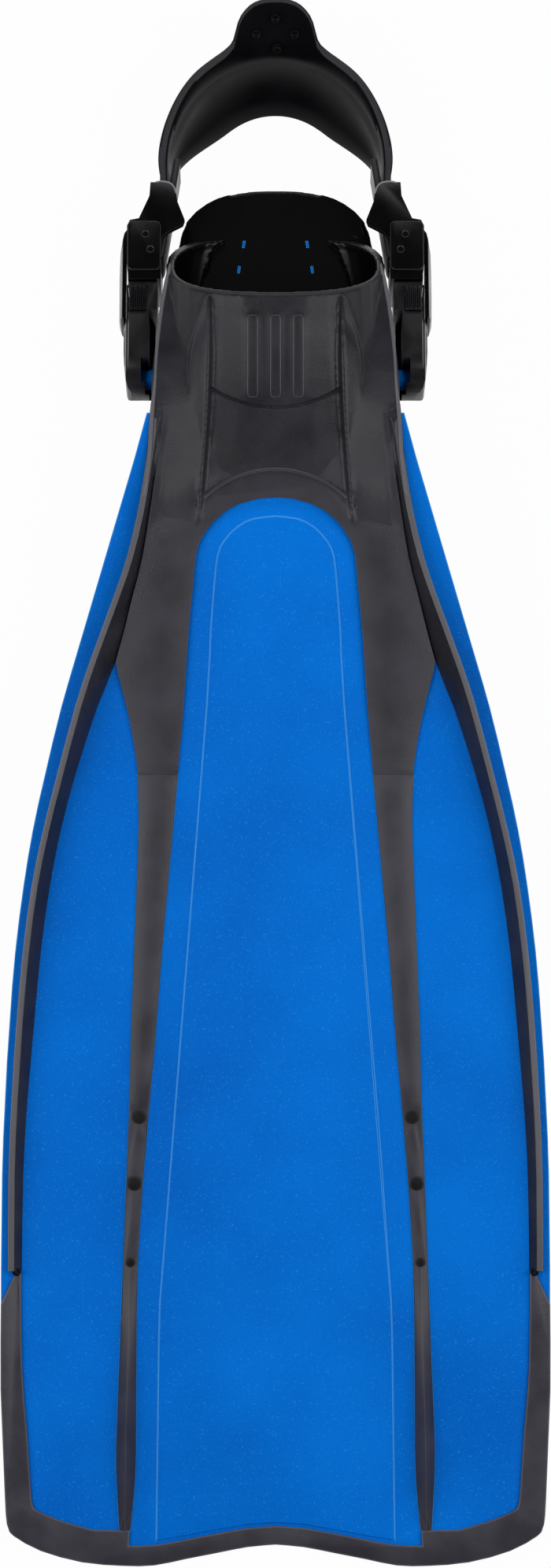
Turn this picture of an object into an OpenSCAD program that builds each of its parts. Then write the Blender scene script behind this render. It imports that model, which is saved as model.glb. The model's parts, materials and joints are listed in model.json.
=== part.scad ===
// Open-heel swim fin with a quick-release heel strap.
// Millimetres, +Z up. The fin lies on its tip and its heel, blade toward -Y, strap toward +Y.

/* [Blade] */
// Widest width of the blade
blade_w = 220; // [180:1:250]
// Distance from the strap pivot to the lobes of the tip
tip_reach = 476; // [420:1:520]
// Thickness of the blade plate
blade_t = 3.2; // [2.4:0.1:5]
// Height of the raised field in the middle, on each face
field_h = 0.7; // [0.3:0.1:1.1]

/* [Rails and strips] */
// Greatest height of a side rail over the top face
rail_h = 10; // [5:0.5:14]
// Greatest height of a side rail under the bottom face
rail_under_h = 8; // [3:0.5:10]
// Width of the flat crest of a rail
rail_crest_w = 2.8; // [2:0.1:3.2]
// How far a strip stands over the blade's faces
strip_proud = 0.6; // [0.3:0.1:1]
// Height of the lower rib over its strip
rib_h = 5; // [2:0.5:6]
// Diameter of the two upper plugs of a strip
plug_d = 5.6; // [4:0.1:6]
// Diameter of the lowest plug of a strip
small_plug_d = 3.8; // [3:0.1:4.4]
// How far the tip trim stands over the blade's faces
trim_proud = 1.2; // [0.8:0.1:2]
// How far the tip trim runs out past the blade's edge
trim_wrap = 3.5; // [2:0.5:5]

/* [Foot pocket] */
// Outer width of the foot pocket
pocket_w = 90; // [80:1:100]
// Rubber wall of the foot pocket
wall_t = 3.6; // [2.8:0.1:4.2]
// Height of the instep over the blade's middle plane
instep_h = 14; // [8:1:20]
// Slope of the sole under the blade's plane, in degrees
sole_slope = 11; // [8:0.5:14]
// Length of the sole
sole_len = 206; // [200:1:216]
// Width of the sole
sole_w = 86; // [76:1:90]
// Thickness of the rubber footbed
footbed_t = 4.2; // [3:0.1:6]
// Thickness of the rubber apron on the blade's root
apron_t = 1.4; // [0.8:0.1:2]
// Thickness of the stiffener in the sole
sole_plate_t = 2.2; // [1.5:0.1:4]
// Margin of the stiffener inside the sole's edge
sole_margin = 2.5; // [1:0.5:5]
// Thickness of the outsole
tread_t = 3; // [2:0.1:5]
// Depth of the grooves in the outsole
tread_groove = 1.4; // [0.5:0.1:1.8]
// Length of a drain slot in the footbed
slot_l = 4; // [3:0.5:6]
// Width of a drain slot in the footbed
slot_w = 1.6; // [1:0.1:3]

/* [Pivot posts] */
// Diameter of a pivot post
post_d = 8; // [6:0.5:9]
// Running clearance of a round fit, on the radius
run_gap = 0.05; // [0.02:0.01:0.1]
// Depth of the pivot axis under the blade's middle plane
pivot_drop = 20; // [18:0.5:24]

/* [Buckle] */
// Height of a buckle body
buckle_h = 28; // [26:1:32]
// Gap between sliding faces
slide_gap = 0.3; // [0.2:0.05:0.4]
// Thickness of a clip cheek
cheek_t = 2.8; // [2:0.1:4]
// Diameter of the pins
pin_d = 3; // [2:0.1:3.6]
// Diameter of a strap roller
roller_d = 6; // [5:0.1:6.4]
// Width of a lever
lever_w = 22; // [16:1:23]
// Travel of a latch button
press = 1.9; // [1.6:0.1:2.1]
// How far a button stands proud of the buckle body
button_proud = 1.2; // [0.4:0.1:2]
// Wire of the latch springs
wire_d = 0.4; // [0.3:0.05:0.6]

/* [Strap] */
// Width of the strap in the buckles
strap_w = 23; // [18:0.5:23]
// Thickness of the strap round the heel
strap_t = 4; // [3:0.1:4.4]
// Thickness of the strap's tails in the buckles
tail_t = 2.6; // [2:0.1:2.8]
// Width of the heel pad
pad_w = 42; // [34:1:48]
// Outward lean of the heel pad's edges
flare = 5.8; // [2:0.2:8]
// Length of the pull tab
tab_len = 18.6; // [12:0.2:26]
// Share by which the loop narrows toward the heel
loop_taper = 0.12; // [0:0.01:0.15]
// How high the pad rests over the ground
rest_gap = 0.4; // [0.3:0.1:1]

/* [Hidden] */
$fn = 48;
eps = 0.01;
half_w = blade_w / 2;
face_z = blade_t / 2;
blue = [0.0, 0.37, 0.78];
rubber = [0.2, 0.2, 0.22];
black = [0.08, 0.08, 0.09];
steel = [0.7, 0.7, 0.72];

// Outer face of the flange beside the pivot, and the buckle body's inner face just clear of it
flange_x = pocket_w / 2 + 4.8;
bx = flange_x + 1.2;

// Sole plane: its toe end in the blade's frame
sole_y = -121;
sole_z = -28;
sole_stack = sole_plate_t + tread_t;

// Rest on the ground: heel edge of the outsole and lobes of the tip
heel_y = sole_y + sole_len * cos(sole_slope) - sole_stack * sin(sole_slope);
heel_z = sole_z - sole_len * sin(sole_slope) - sole_stack * cos(sole_slope);
tip_z = -face_z - trim_proud;
tilt = atan2(tip_z - heel_z, heel_y + tip_reach);
lift = tip_reach * sin(tilt) - tip_z * cos(tilt);
pivot_z = lift - pivot_drop * cos(tilt);

// Strap loop: centre and radius of its round part, roller centre, ends of the straight runs
roller_u = 52;
loop_u = 88;
loop_r = bx - 5.7;
apex_u = 80;
main_x = bx - 5.7;
tail_x = bx - 10.7;
tail_end_u = 92;
pad_u = loop_u + loop_r + strap_t / 2 - flare;
droop = asin((pivot_z - rest_gap) / norm([pad_u, pad_w / 2])) - atan2(pad_w / 2, pad_u);
tab_lean = 49;
tab_u = loop_u + loop_r + strap_t / 2 + flare + tab_len * sin(tab_lean);
tab_v = pad_w / 2 + tab_len * cos(tab_lean);

// Centre of the whole length on the origin
min_y = -tip_reach * cos(tilt) + tip_z * sin(tilt);
max_y = pivot_drop * sin(tilt) + tab_u * cos(droop) + tab_v * sin(droop);
shift_y = -(min_y + max_y) / 2;
pivot_y = shift_y + pivot_drop * sin(tilt);

// Latch sizes shared by the button, the tongue and the buckle body
button_u0 = 24.4;
button_u1 = 34.8;
wall_v = 1.8;
pad_in = buckle_h / 2 - 2.8;
tongue_v = 4;
bar_in = tongue_v + 0.6 - press;
bar_out = bar_in + 3.1;

// Smooth curve through rows of numbers, n steps a row
function crom(a, b, c, d, t) =
    0.5 * (2 * b + (c - a) * t + (2 * a - 5 * b + 4 * c - d) * t * t
    + (3 * b - a - 3 * c + d) * t * t * t);
function row(p, i) = p[max(0, min(len(p) - 1, i))];
function spline(p, n) = concat(
    [for (i = [0 : len(p) - 2]) for (k = [0 : n - 1])
        crom(row(p, i - 1), p[i], p[i + 1], row(p, i + 2), k / n)],
    [p[len(p) - 1]]);
function flip(p) = [for (i = [len(p) - 1 : -1 : 0]) p[i]];
function mirrored(p) = [for (q = flip(p)) [-q[0], q[1]]];
// Both halves of a line that starts and ends on the middle plane
function sym(p) = concat(p, [for (q = mirrored(p)) if (q[0] < -eps) q]);
// Blade-plane point from shares of the half width and of the reach
function bp(x, y) = [x * half_w, -y * tip_reach];
function bpl(p) = [for (q = p) bp(q[0], q[1])];

// Side of the blade: share of reach, then shares of half width for the edge, the rail's crest and
// its inner foot, then the share of the rail's height
side_rows = spline([
    [0.031, 0.468, 0.453, 0.405, 0.06],
    [0.070, 0.514, 0.472, 0.428, 0.32],
    [0.112, 0.568, 0.500, 0.455, 0.62],
    [0.153, 0.620, 0.541, 0.484, 0.80],
    [0.187, 0.664, 0.590, 0.521, 0.93],
    [0.240, 0.731, 0.674, 0.580, 1.00],
    [0.279, 0.780, 0.729, 0.648, 1.00],
    [0.336, 0.840, 0.795, 0.728, 0.95],
    [0.383, 0.884, 0.846, 0.781, 0.90],
    [0.429, 0.917, 0.887, 0.820, 0.84],
    [0.484, 0.947, 0.919, 0.853, 0.76],
    [0.543, 0.968, 0.942, 0.877, 0.67],
    [0.610, 0.985, 0.961, 0.902, 0.57],
    [0.672, 0.995, 0.972, 0.917, 0.48],
    [0.752, 0.999, 0.974, 0.922, 0.36]], 2);

// Strip: share of reach, outer and inner edge as shares of half width, share of the rib's height
strip_rows = spline([
    [0.336, 0.501, 0.356, 0.0],
    [0.374, 0.496, 0.372, 0.0],
    [0.420, 0.502, 0.389, 0.0],
    [0.483, 0.513, 0.414, 0.0],
    [0.544, 0.523, 0.434, 0.0],
    [0.609, 0.530, 0.459, 0.0],
    [0.672, 0.540, 0.482, 0.0],
    [0.750, 0.553, 0.503, 0.02],
    [0.809, 0.562, 0.507, 0.40],
    [0.861, 0.572, 0.508, 0.85],
    [0.903, 0.579, 0.509, 1.0],
    [0.931, 0.576, 0.513, 0.85],
    [0.970, 0.567, 0.529, 0.10]], 2);

// Outline of the tip: shares of half width and reach, then the direction in which the edge is inset
tip_rows = spline([
    [0.999, 0.780, 1, 0],
    [1.000, 0.852, 1, 0],
    [0.988, 0.921, 1, 0],
    [0.981, 0.957, 1, 0.1],
    [0.972, 0.9685, 0.9, 0.5],
    [0.952, 0.9750, 0.6, 0.85],
    [0.8545, 0.9874, 0.2, 0.98],
    [0.7036, 0.997, 0.1, 1],
    [0.5545, 1.0, 0, 1],
    [0.441, 0.9996, 0, 1],
    [0.327, 0.9943, 0, 1],
    [0.2155, 0.9893, 0, 1],
    [0.102, 0.9842, 0, 1],
    [0, 0.9821, 0, 1]], 2);

// Inner edge of the trim on the side panels and on the middle panel
trim_inner = concat(
    spline([[0.925, 0.7535], [0.921, 0.834], [0.903, 0.887], [0.891, 0.930], [0.884, 0.9475],
        [0.8645, 0.9536], [0.778, 0.962], [0.666, 0.9695]], 2),
    [[0.567, 0.970], [0.529, 0.970]],
    spline([[0.533, 0.983], [0.4336, 0.982], [0.327, 0.9777], [0.2155, 0.9726], [0.102, 0.9681],
        [0, 0.9662]], 2));

// Round top and side of the middle tongue, and of the raised field in it
tongue_rows = spline([[0, 0.1006], [0.138, 0.1084], [0.220, 0.1216], [0.269, 0.137],
    [0.290, 0.152], [0.300, 0.177], [0.316, 0.215], [0.335, 0.280], [0.356, 0.336]], 2);
field_rows = concat(
    spline([[0, 0.1183], [0.080, 0.1205], [0.138, 0.1271], [0.187, 0.1389], [0.212, 0.152],
        [0.223, 0.1765], [0.236, 0.214], [0.251, 0.280], [0.342, 0.5315], [0.410, 0.7437],
        [0.4245, 0.810], [0.4336, 0.973]], 2),
    spline([[0.4336, 0.9785], [0.327, 0.9745], [0.2155, 0.9695], [0.102, 0.965],
        [0, 0.9635]], 1));

// Rings of the foot pocket from toe to rim: bottom y, share of the drop to the sole plane, top y,
// share of the instep's height, share of half width, squareness of the upper and lower halves
pocket_rows = spline([
    [-137.5, 0.09, -138, 0.0, 0.52, 3, 4.5],
    [-133, 0.33, -134, 0.0, 0.68, 4, 4.5],
    [-124, 0.7, -126, 0.0, 0.83, 5, 4.5],
    [-112, 0.95, -114, 0.0, 0.91, 6, 4.5],
    [-97, 1, -98, 0.0, 0.96, 6, 4.5],
    [-75, 1, -76, 0.0, 0.99, 6, 4.5],
    [-50, 1, -52, 0.0, 1.0, 5, 4.5],
    [-31, 1, -36, 0.22, 1.0, 3.4, 4.5],
    [-10, 1, -19, 0.50, 0.995, 3, 4.5],
    [14, 1, -2, 0.75, 0.985, 2.8, 4.5],
    [38, 1, 14, 0.92, 0.985, 2.7, 4],
    [55, 1, 26, 0.99, 0.985, 2.6, 3.1],
    [64, 1, 31, 1.02, 0.985, 2.6, 2.5]], 2);

// Closed solid over a list of rings with the same number of points; its ends stand out by a dome
function mean(p) = [for (q = p) 1] * p / len(p);
function end_point(a, b, dome) = let (d = mean(a) - mean(b)) mean(a) + d / norm(d) * dome;

module skin(rings, dome = 0) {
    n = len(rings[0]);
    m = len(rings);
    points = concat([for (r = rings) for (p = r) p],
        [end_point(rings[0], rings[1], dome), end_point(rings[m - 1], rings[m - 2], dome)]);
    sides = [for (i = [0 : m - 2]) for (k = [0 : n - 1]) for (f = [0, 1])
        f == 0 ? [i * n + k, i * n + (k + 1) % n, (i + 1) * n + k]
        : [i * n + (k + 1) % n, (i + 1) * n + (k + 1) % n, (i + 1) * n + k]];
    first = [for (k = [0 : n - 1]) [(k + 1) % n, k, m * n]];
    last = [for (k = [0 : n - 1]) [(m - 1) * n + k, (m - 1) * n + (k + 1) % n, m * n + 1]];
    faces = concat(first, sides, last);
    cones = [for (f = faces) points[f[0]] * cross(points[f[1]], points[f[2]])];
    volume = cones * [for (c = cones) 1];
    polyhedron(points, volume < 0 ? faces : [for (f = faces) flip(f)]);
}

// One moulding: its features run into one skin
module moulding() {
    resize([0, 0, 0])
        children();
}

module flat(points, t) {
    linear_extrude(t, center = true)
        polygon(points);
}

module block(x0, x1, y0, y1, z0, z1) {
    translate([x0, y0, z0])
        cube([x1 - x0, y1 - y0, z1 - z0]);
}

// Round bar along X
module bar_x(x0, x1, r) {
    translate([x0, 0, 0])
        rotate([0, 90, 0])
            cylinder(h = x1 - x0, r = r);
}

// From the blade's frame to the ground
module on_ground() {
    translate([0, shift_y, lift])
        rotate([tilt, 0, 0])
            children();
}

// From the strap's frame, pivot at its origin, to the ground
module on_strap() {
    translate([0, pivot_y, pivot_z])
        rotate([-droop, 0, 0])
            children();
}

// From the sole's frame, toe end at its origin and the footbed over it, to the blade's frame
module on_sole() {
    translate([0, sole_y, sole_z])
        rotate([-sole_slope, 0, 0])
            children();
}

module at_pivot() {
    translate([0, 0, -pivot_drop])
        children();
}

module left_side() {
    mirror([1, 0, 0])
        children();
}

module at_buckle() {
    translate([bx, 0, 0])
        children();
}

// Blade

// Start of the lower raised field, past the toe box
toe_clear_y = sole_y - 25;

core_half = concat(
    [[0, -46.5], [0.418 * half_w, -46.5], [0.418 * half_w, -0.033 * tip_reach]],
    [for (r = side_rows) bp(r[1], r[0])],
    [bp(0.999, 0.780)],
    [for (r = tip_rows) bp(r[0], r[1]) + [-r[2], r[3]] * trim_wrap]);

strip_edge = concat(
    [for (r = strip_rows) bp(r[1], r[0])],
    flip([for (r = strip_rows) bp(r[2], r[0])]));

module core_plate(t) {
    linear_extrude(t, center = true)
        difference() {
            polygon(sym(core_half));
            polygon(strip_edge);
            polygon(mirrored(strip_edge));
        }
}

module blade() {
    color(blue)
        on_ground() {
            core_plate(blade_t);
            linear_extrude(face_z + field_h)
                polygon(sym(bpl(field_rows)));
            intersection() {
                flat(sym(bpl(field_rows)), blade_t + 2 * field_h);
                block(-half_w, half_w, -2 * tip_reach, toe_clear_y, -blade_t - field_h, 0);
            }
        }
}

// Rail on the right of the top face; k is the share of the height and its sign the face
module rail_skin(h, side) {
    rings = [for (r = side_rows) [
        [r[2] * half_w, -r[0] * tip_reach, side * face_z],
        [r[2] * half_w - 0.4, -r[0] * tip_reach, side * (face_z + h * r[4])],
        [r[2] * half_w - rail_crest_w, -r[0] * tip_reach, side * (face_z + h * r[4])],
        [r[3] * half_w, -r[0] * tip_reach, side * face_z]]];
    skin(rings);
}

module rail() {
    rail_skin(rail_h, 1);
    rail_skin(rail_under_h, -1);
}

module left_rail() {
    color(rubber)
        on_ground()
            left_side()
                rail();
}

module right_rail() {
    color(rubber)
        on_ground()
            rail();
}

// Plugs of the right strip: shares of half width and reach, then the diameter
plugs = [[0.496, 0.623, plug_d], [0.513, 0.679, plug_d], [0.527, 0.745, small_plug_d]];
strip_z = face_z + strip_proud;

module strip() {
    moulding()
        difference() {
            skin([for (r = strip_rows) [
                [r[1] * half_w, -r[0] * tip_reach, -strip_z],
                [r[1] * half_w, -r[0] * tip_reach, strip_z],
                [(r[1] + r[2]) / 2 * half_w, -r[0] * tip_reach, strip_z + 0.4 + rib_h * r[3]],
                [r[2] * half_w, -r[0] * tip_reach, strip_z],
                [r[2] * half_w, -r[0] * tip_reach, -strip_z],
                [(r[1] + r[2]) / 2 * half_w, -r[0] * tip_reach, -strip_z - 0.4 - rib_h * r[3]]]]);
            for (p = plugs)
                translate([p[0] * half_w, -p[1] * tip_reach, 0])
                    cylinder(h = 20, r = p[2] / 2 / cos(180 / 24), $fn = 24);
        }
}

module left_stringer() {
    color(rubber)
        on_ground()
            left_side()
                strip();
}

module right_stringer() {
    color(rubber)
        on_ground()
            strip();
}

module plug_set() {
    for (p = plugs)
        translate([p[0] * half_w, -p[1] * tip_reach, 0])
            cylinder(h = strip_z + 0.6, r = p[2] / 2);
}

module stringer_plugs() {
    color(black)
        on_ground() {
            plug_set();
            left_side()
                plug_set();
        }
}

trim_half = concat([bp(0.946, 0.7535)], [for (r = tip_rows) bp(r[0], r[1])]);
trim_window = concat([bp(0.925, 0.7)], bpl(trim_inner));

module tip_trim() {
    color(rubber)
        on_ground()
            difference() {
                linear_extrude(blade_t + 2 * trim_proud, center = true)
                    difference() {
                        polygon(sym(concat([bp(0, 0.7535)], trim_half)));
                        polygon(sym(concat([bp(0, 0.7)], trim_window)));
                    }
                linear_extrude(blade_t, center = true)
                    polygon(sym(core_half));
            }
}

// Foot pocket

function sole_at(y) = sole_z - (y - sole_y) * tan(sole_slope);
function sign_pow(v, e) = v < 0 ? -pow(-v, e) : pow(v, e);

// One ring of the pocket, moved in by the side, bottom and top walls and out by a step; the first
// point stands at an angle
function ring(r, side_in, bottom_in, top_in, step, turn) = let (
    zb = -face_z + (sole_at(r[0]) - 1 + face_z) * r[1],
    zt = 0.8 - face_z + (instep_h + face_z - 0.8) * r[3],
    d = [r[2] - r[0], zt - zb],
    u = d / norm(d),
    b = [r[0], zb] + u * bottom_in + [u[1], -u[0]] * step,
    t = [r[2], zt] - u * top_in + [u[1], -u[0]] * step,
    w = r[4] * pocket_w / 2 - side_in)
    [for (k = [0 : 31]) let (
        c = cos(k * 11.25 + turn),
        s = sin(k * 11.25 + turn),
        e = 2 / (s > 0 ? r[5] : r[6]),
        h = 0.5 + 0.5 * sign_pow(s, e),
        p = b + (t - b) * h)
        [w * sign_pow(c, e), p[0], p[1]]];

outer_rings = [for (r = pocket_rows) ring(r, 0, 0, 0, 0, 0)];
inner_rings = concat(
    [for (i = [6 : len(pocket_rows) - 2])
        ring(pocket_rows[i], wall_t, footbed_t + 1.62, wall_t + 0.6, 0, 5.6)],
    [ring(pocket_rows[len(pocket_rows) - 1], wall_t - 0.3, footbed_t + 1.97, wall_t + 0.2, 12, 5.6)]);

// Sole outline from toe to heel: shares of half width and length
sole_rows = spline([[0, 0.036], [0.30, 0.038], [0.62, 0.052], [0.86, 0.100], [0.97, 0.190],
    [1, 0.400], [0.985, 0.600], [0.965, 0.780], [0.93, 0.880], [0.85, 0.935], [0.66, 0.972],
    [0.46, 0.990], [0.20, 0.999], [0, 1]], 2);
function sole_line(m) = [for (p = sole_rows)
    [p[0] * (sole_w / 2 - m), m + p[1] * (sole_len - 2 * m)]];

// Height of the vamp's middle line over the blade's plane
function vamp(y) = lookup(y, [for (i = [12 : len(pocket_rows) - 1]) let (r = pocket_rows[i])
    [r[2], 0.8 - face_z + (instep_h + face_z - 0.8) * r[3]]]);

apron_z = face_z + apron_t;
apron_half = concat(
    [[0, -28], [0.36 * half_w, -13]],
    [for (i = [0 : 10]) bp(side_rows[i][3], side_rows[i][0])],
    spline([bp(0.576, 0.247), bp(0.531, 0.2887), bp(0.506, 0.323), bp(0.501, 0.336)], 2),
    flip(bpl(tongue_rows)));

// Side flange over the buckle: y, edge x, edge z
flange_rows = spline([[42, -6.3, -12.5], [30, -4.0, -7], [15, -1.9, -3.4], [2, -0.5, -0.9],
    [-10, 0, 0.6], [-14.6, 0, 1.0]], 2);

module flange() {
    skin([for (r = flange_rows) [
        [flange_x + r[1], r[0], r[2]],
        [flange_x + r[1] - 21.6, r[0], r[2] + 8.1],
        [flange_x + r[1] - 17.1, r[0], r[2] - 15.2],
        [flange_x + r[1], r[0], r[2] - 3.2]]]);
}

// Shoulder between the vamp and the foot of the rail
function rail_foot(y) = half_w * lookup(-y / tip_reach, [for (r = side_rows) [r[0], r[3]]]);

shoulder_gap = 0.8;

module shoulder() {
    skin([for (y = [-11, -17, -23, -29, -35, -42, -50]) let (x = rail_foot(y) - shoulder_gap) [
        [x, y, 2.4],
        [x - 16.3, y, 8.7 + 0.06 * y],
        [x - 12.2, y, -11.8],
        [x, y, -1]]]);
}

// Leaf-shaped rib of the vamp: y, outer x, crest x, inner x, crest height over the vamp's line
vamp_rib = spline([[31, 27.3, 26.8, 26.2, -2.1], [22, 30.5, 26.5, 25.3, -0.7],
    [8, 34.3, 26.8, 25, 0.8], [-12, 34.8, 27.4, 25.9, 2.1], [-30, 33.9, 28.5, 27.5, 3.6],
    [-45, 32.7, 29.8, 28.4, 6], [-58, 32.6, 31, 29.6, 5.1]], 2);

module rib() {
    skin([for (r = vamp_rib) let (z = vamp(r[0])) [
        [r[1], r[0], z + r[4] - 5],
        [r[2] + 0.5, r[0], z + r[4]],
        [r[2] - 0.5, r[0], z + r[4]],
        [r[3], r[0], z + r[4] - 3.5],
        [r[3], r[0], z - 14],
        [r[1], r[0], z - 14]]]);
}

// Raised grip bar on the vamp
module grip_bar(x) {
    skin([for (y = [23, 15, 7, -1, -9.5]) [
        [x + 2.3, y, vamp(y) - 2],
        [x + 1.9, y, vamp(y) + 0.7],
        [x - 1.9, y, vamp(y) + 0.7],
        [x - 2.3, y, vamp(y) - 2]]]);
}

// Bead over the tongue's round top
bead_rows = spline([[29, -49.5], [22, -44.5], [12, -39.6], [0, -37.8], [-12, -39.6],
    [-22, -44.5], [-29, -49.5]], 2);

module bead() {
    skin([for (p = bead_rows) [
        [p[0], p[1] + 1.1, apron_z - 0.8],
        [p[0], p[1] + 0.8, apron_z + 0.7],
        [p[0], p[1] - 0.8, apron_z + 0.7],
        [p[0], p[1] - 1.1, apron_z - 0.8]]]);
}

module half_pocket() {
    flange();
    shoulder();
    rib();
}

module apron() {
    translate([0, 0, face_z])
        linear_extrude(apron_t)
            polygon(sym(apron_half));
}

module pocket_body() {
    skin(outer_rings, 3);
    on_sole()
        linear_extrude(footbed_t)
            polygon(sym(sole_line(0)));
    apron();
    half_pocket();
    left_side()
        half_pocket();
    for (x = [-9.0, 0, 9.0])
        grip_bar(x);
    bead();
}

// Drain slots in the footbed, as x and distance from the heel
drains = [[13.1, 23.4], [15.1, 34.3]];

module pocket_cuts() {
    skin(inner_rings);
    on_sole() {
        block(-pocket_w, pocket_w, -pocket_w, sole_len + pocket_w, -pocket_w, 0);
        for (d = drains)
            for (s = [-1, 1])
                translate([s * d[0], sole_len - d[1], 0])
                    cube([slot_w, slot_l, 30], center = true);
    }
    linear_extrude(blade_t, center = true)
        polygon(sym(core_half));
    post_hole();
    left_side()
        post_hole();
}

// Hole for the post's collar, with a seat for its head in the wall
module post_hole() {
    k = 1 / cos(180 / 22);
    at_pivot() {
        bar_x(post_x + 0.6, bx + 20, collar_r * k, $fn = 22);
        bar_x(post_x, post_x + head_t, head_r * k, $fn = 22);
    }
}

module foot_pocket() {
    color(rubber)
        on_ground()
            moulding()
                difference() {
                    pocket_body();
                    pocket_cuts();
                }
}

module sole_plate() {
    color(blue)
        on_ground()
            on_sole()
                translate([0, 0, -sole_plate_t])
                    linear_extrude(sole_plate_t)
                        polygon(sym(sole_line(sole_margin)));
}

module outsole() {
    color(rubber)
        on_ground()
            on_sole()
                translate([0, 0, -sole_stack])
                    difference() {
                        linear_extrude(tread_t)
                            polygon(sym(sole_line(0)));
                        for (i = [0 : 9])
                            translate([-60, 40 + i * 15, -1])
                                cube([120, 3, 1 + tread_groove]);
                    }
}

// Pivot posts

post_x = pocket_w / 2 - 3;
collar_r = post_d / 2 + 1.5;
head_r = post_d / 2 + 3;
head_t = 1.2;
bearing_x = bx + 6.5;
cover_x = bx + 8.6;
groove_x = bearing_x + 0.4;
clip_t = 0.7;

module post() {
    at_pivot() {
        bar_x(post_x, post_x + head_t, head_r);
        bar_x(post_x, flange_x - 2, collar_r);
        bar_x(post_x, groove_x, post_d / 2);
        bar_x(groove_x - eps, groove_x + clip_t + 0.1, post_d / 2 - 1);
        bar_x(groove_x + clip_t + 0.1 - eps, cover_x - 0.3, post_d / 2 - 0.3);
    }
}

module left_post() {
    color(blue)
        on_ground()
            left_side()
                post();
}

module right_post() {
    color(blue)
        on_ground()
            post();
}

module post_clip() {
    at_pivot()
        difference() {
            bar_x(groove_x + 0.05, groove_x + 0.05 + clip_t, post_d / 2 + 1.2);
            bar_x(groove_x - 1, groove_x + 2, post_d / 2 - 1 + run_gap);
            translate([groove_x - 1, -1.8, -20])
                cube([3, 3.6, 20]);
        }
}

module left_post_clip() {
    color(steel)
        on_ground()
            left_side()
                post_clip();
}

module right_post_clip() {
    color(steel)
        on_ground()
            post_clip();
}

// Strap: stations along its middle line as x, u, half thickness, half width, lean, tab height

roller_gap = 0.3;
wrap_r = roller_d / 2 + roller_gap + tail_t / 2;
function wrap_angle(x, s) = let (d = [x - bx, apex_u - roller_u])
    atan2(d[1], d[0]) + s * acos(wrap_r / norm(d));
wrap_in = wrap_angle(tail_x, 1);
wrap_out = wrap_angle(main_x, -1) + 360;
function wrap_at(a) = [bx + wrap_r * cos(a), roller_u + wrap_r * sin(a)];
function ease(t) = let (k = max(0, min(1, t))) k * k * (3 - 2 * k);
function tab_share(x) = lookup(x, [[0, 1], [5.4, 0.95], [9, 0.77], [11.2, 0.56], [13.2, 0.29],
    [17.6, 0.03], [90, 0.03]]);
loop_angles = concat([for (a = [0 : 10 : 50]) a], [for (a = [56 : 3.4 : 88]) a]);

half_strap = concat(
    [for (u = [tail_end_u : -6 : apex_u]) [tail_x, u, tail_t / 2, strap_w / 2, 0, 0.5]],
    [for (k = [0 : 10]) let (p = wrap_at(wrap_in + (wrap_out - wrap_in) * k / 10))
        [p[0], p[1], tail_t / 2, strap_w / 2, 0, 0.5]],
    [[main_x, apex_u, tail_t / 2 + 0.2, strap_w / 2, 0, 0.5]],
    [for (a = loop_angles) let (x = loop_r * cos(a) * (1 - loop_taper * ease(a / 60)))
        [x, loop_u + loop_r * sin(a), tail_t / 2 + (strap_t - tail_t) / 2 * ease((a + 10) / 20),
        strap_w / 2 + (pad_w - strap_w) / 2 * ease((a + 4) / 54), flare * ease((a + 8) / 60),
        tab_len * tab_share(x)]]);
rear = [[0, loop_u + loop_r, strap_t / 2, pad_w / 2, flare, tab_len]];
strap_path = concat(half_strap, rear,
    [for (r = flip(half_strap)) [-r[0], r[1], r[2], r[3], r[4], r[5]]]);

function strap_ring(i) = let (
    r = strap_path[i],
    a = row(strap_path, i - 1),
    b = row(strap_path, i + 1),
    d = [b[0] - a[0], b[1] - a[1]],
    n = [d[1], -d[0]] / norm(d),
    c = [r[0], r[1]],
    tn = r[4] + sin(tab_lean) * r[5],
    tv = r[3] + cos(tab_lean) * r[5])
    [for (q = [[-r[2] - r[4], -r[3]], [-r[2] + r[4], r[3]], [-r[2] + tn, tv],
        [r[2] + tn, tv], [r[2] + r[4], r[3]], [r[2] - r[4], -r[3]]])
        [c[0] + n[0] * q[0], c[1] + n[1] * q[0], q[1]]];

module heel_strap() {
    color(black)
        on_strap()
            skin([for (i = [0 : len(strap_path) - 1]) strap_ring(i)]);
}

// Buckle: x from the body's inner face, y along the strap, z across it

half_h = buckle_h / 2;
cavity_v = half_h - wall_v;
nose_u = -post_d / 2 - 4;
body_line = [[0, nose_u], [4.6, nose_u + 0.2], [7.2, nose_u + 0.8], [8.6, nose_u + 2],
    [8.6, 37], [0, 37]];
cover_line = [[8.6, nose_u + 2], [9.3, nose_u + 4.5], [10.1, 4], [10.6, 12], [10.6, 20.5],
    [9.2, 22], [9.2, 37], [8.6, 37]];
barrel_r = 40;
cover_v = half_h - 3.5;
grip_depth = 0.7;

// Round nose of the body, seen from the side
module nose() {
    rotate([90, 0, 90])
        linear_extrude(4 * half_h, center = true) {
            translate([nose_u + half_h, 0])
                circle(r = half_h);
            translate([nose_u + half_h, -half_h])
                square([6 * half_h, buckle_h]);
        }
}

// Bulge of an outer face that reaches x in its middle
module barrel(x) {
    translate([x - barrel_r, 0, 0])
        rotate([90, 0, 0])
            cylinder(h = 12 * half_h, r = barrel_r, center = true, $fn = 180);
}

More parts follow.
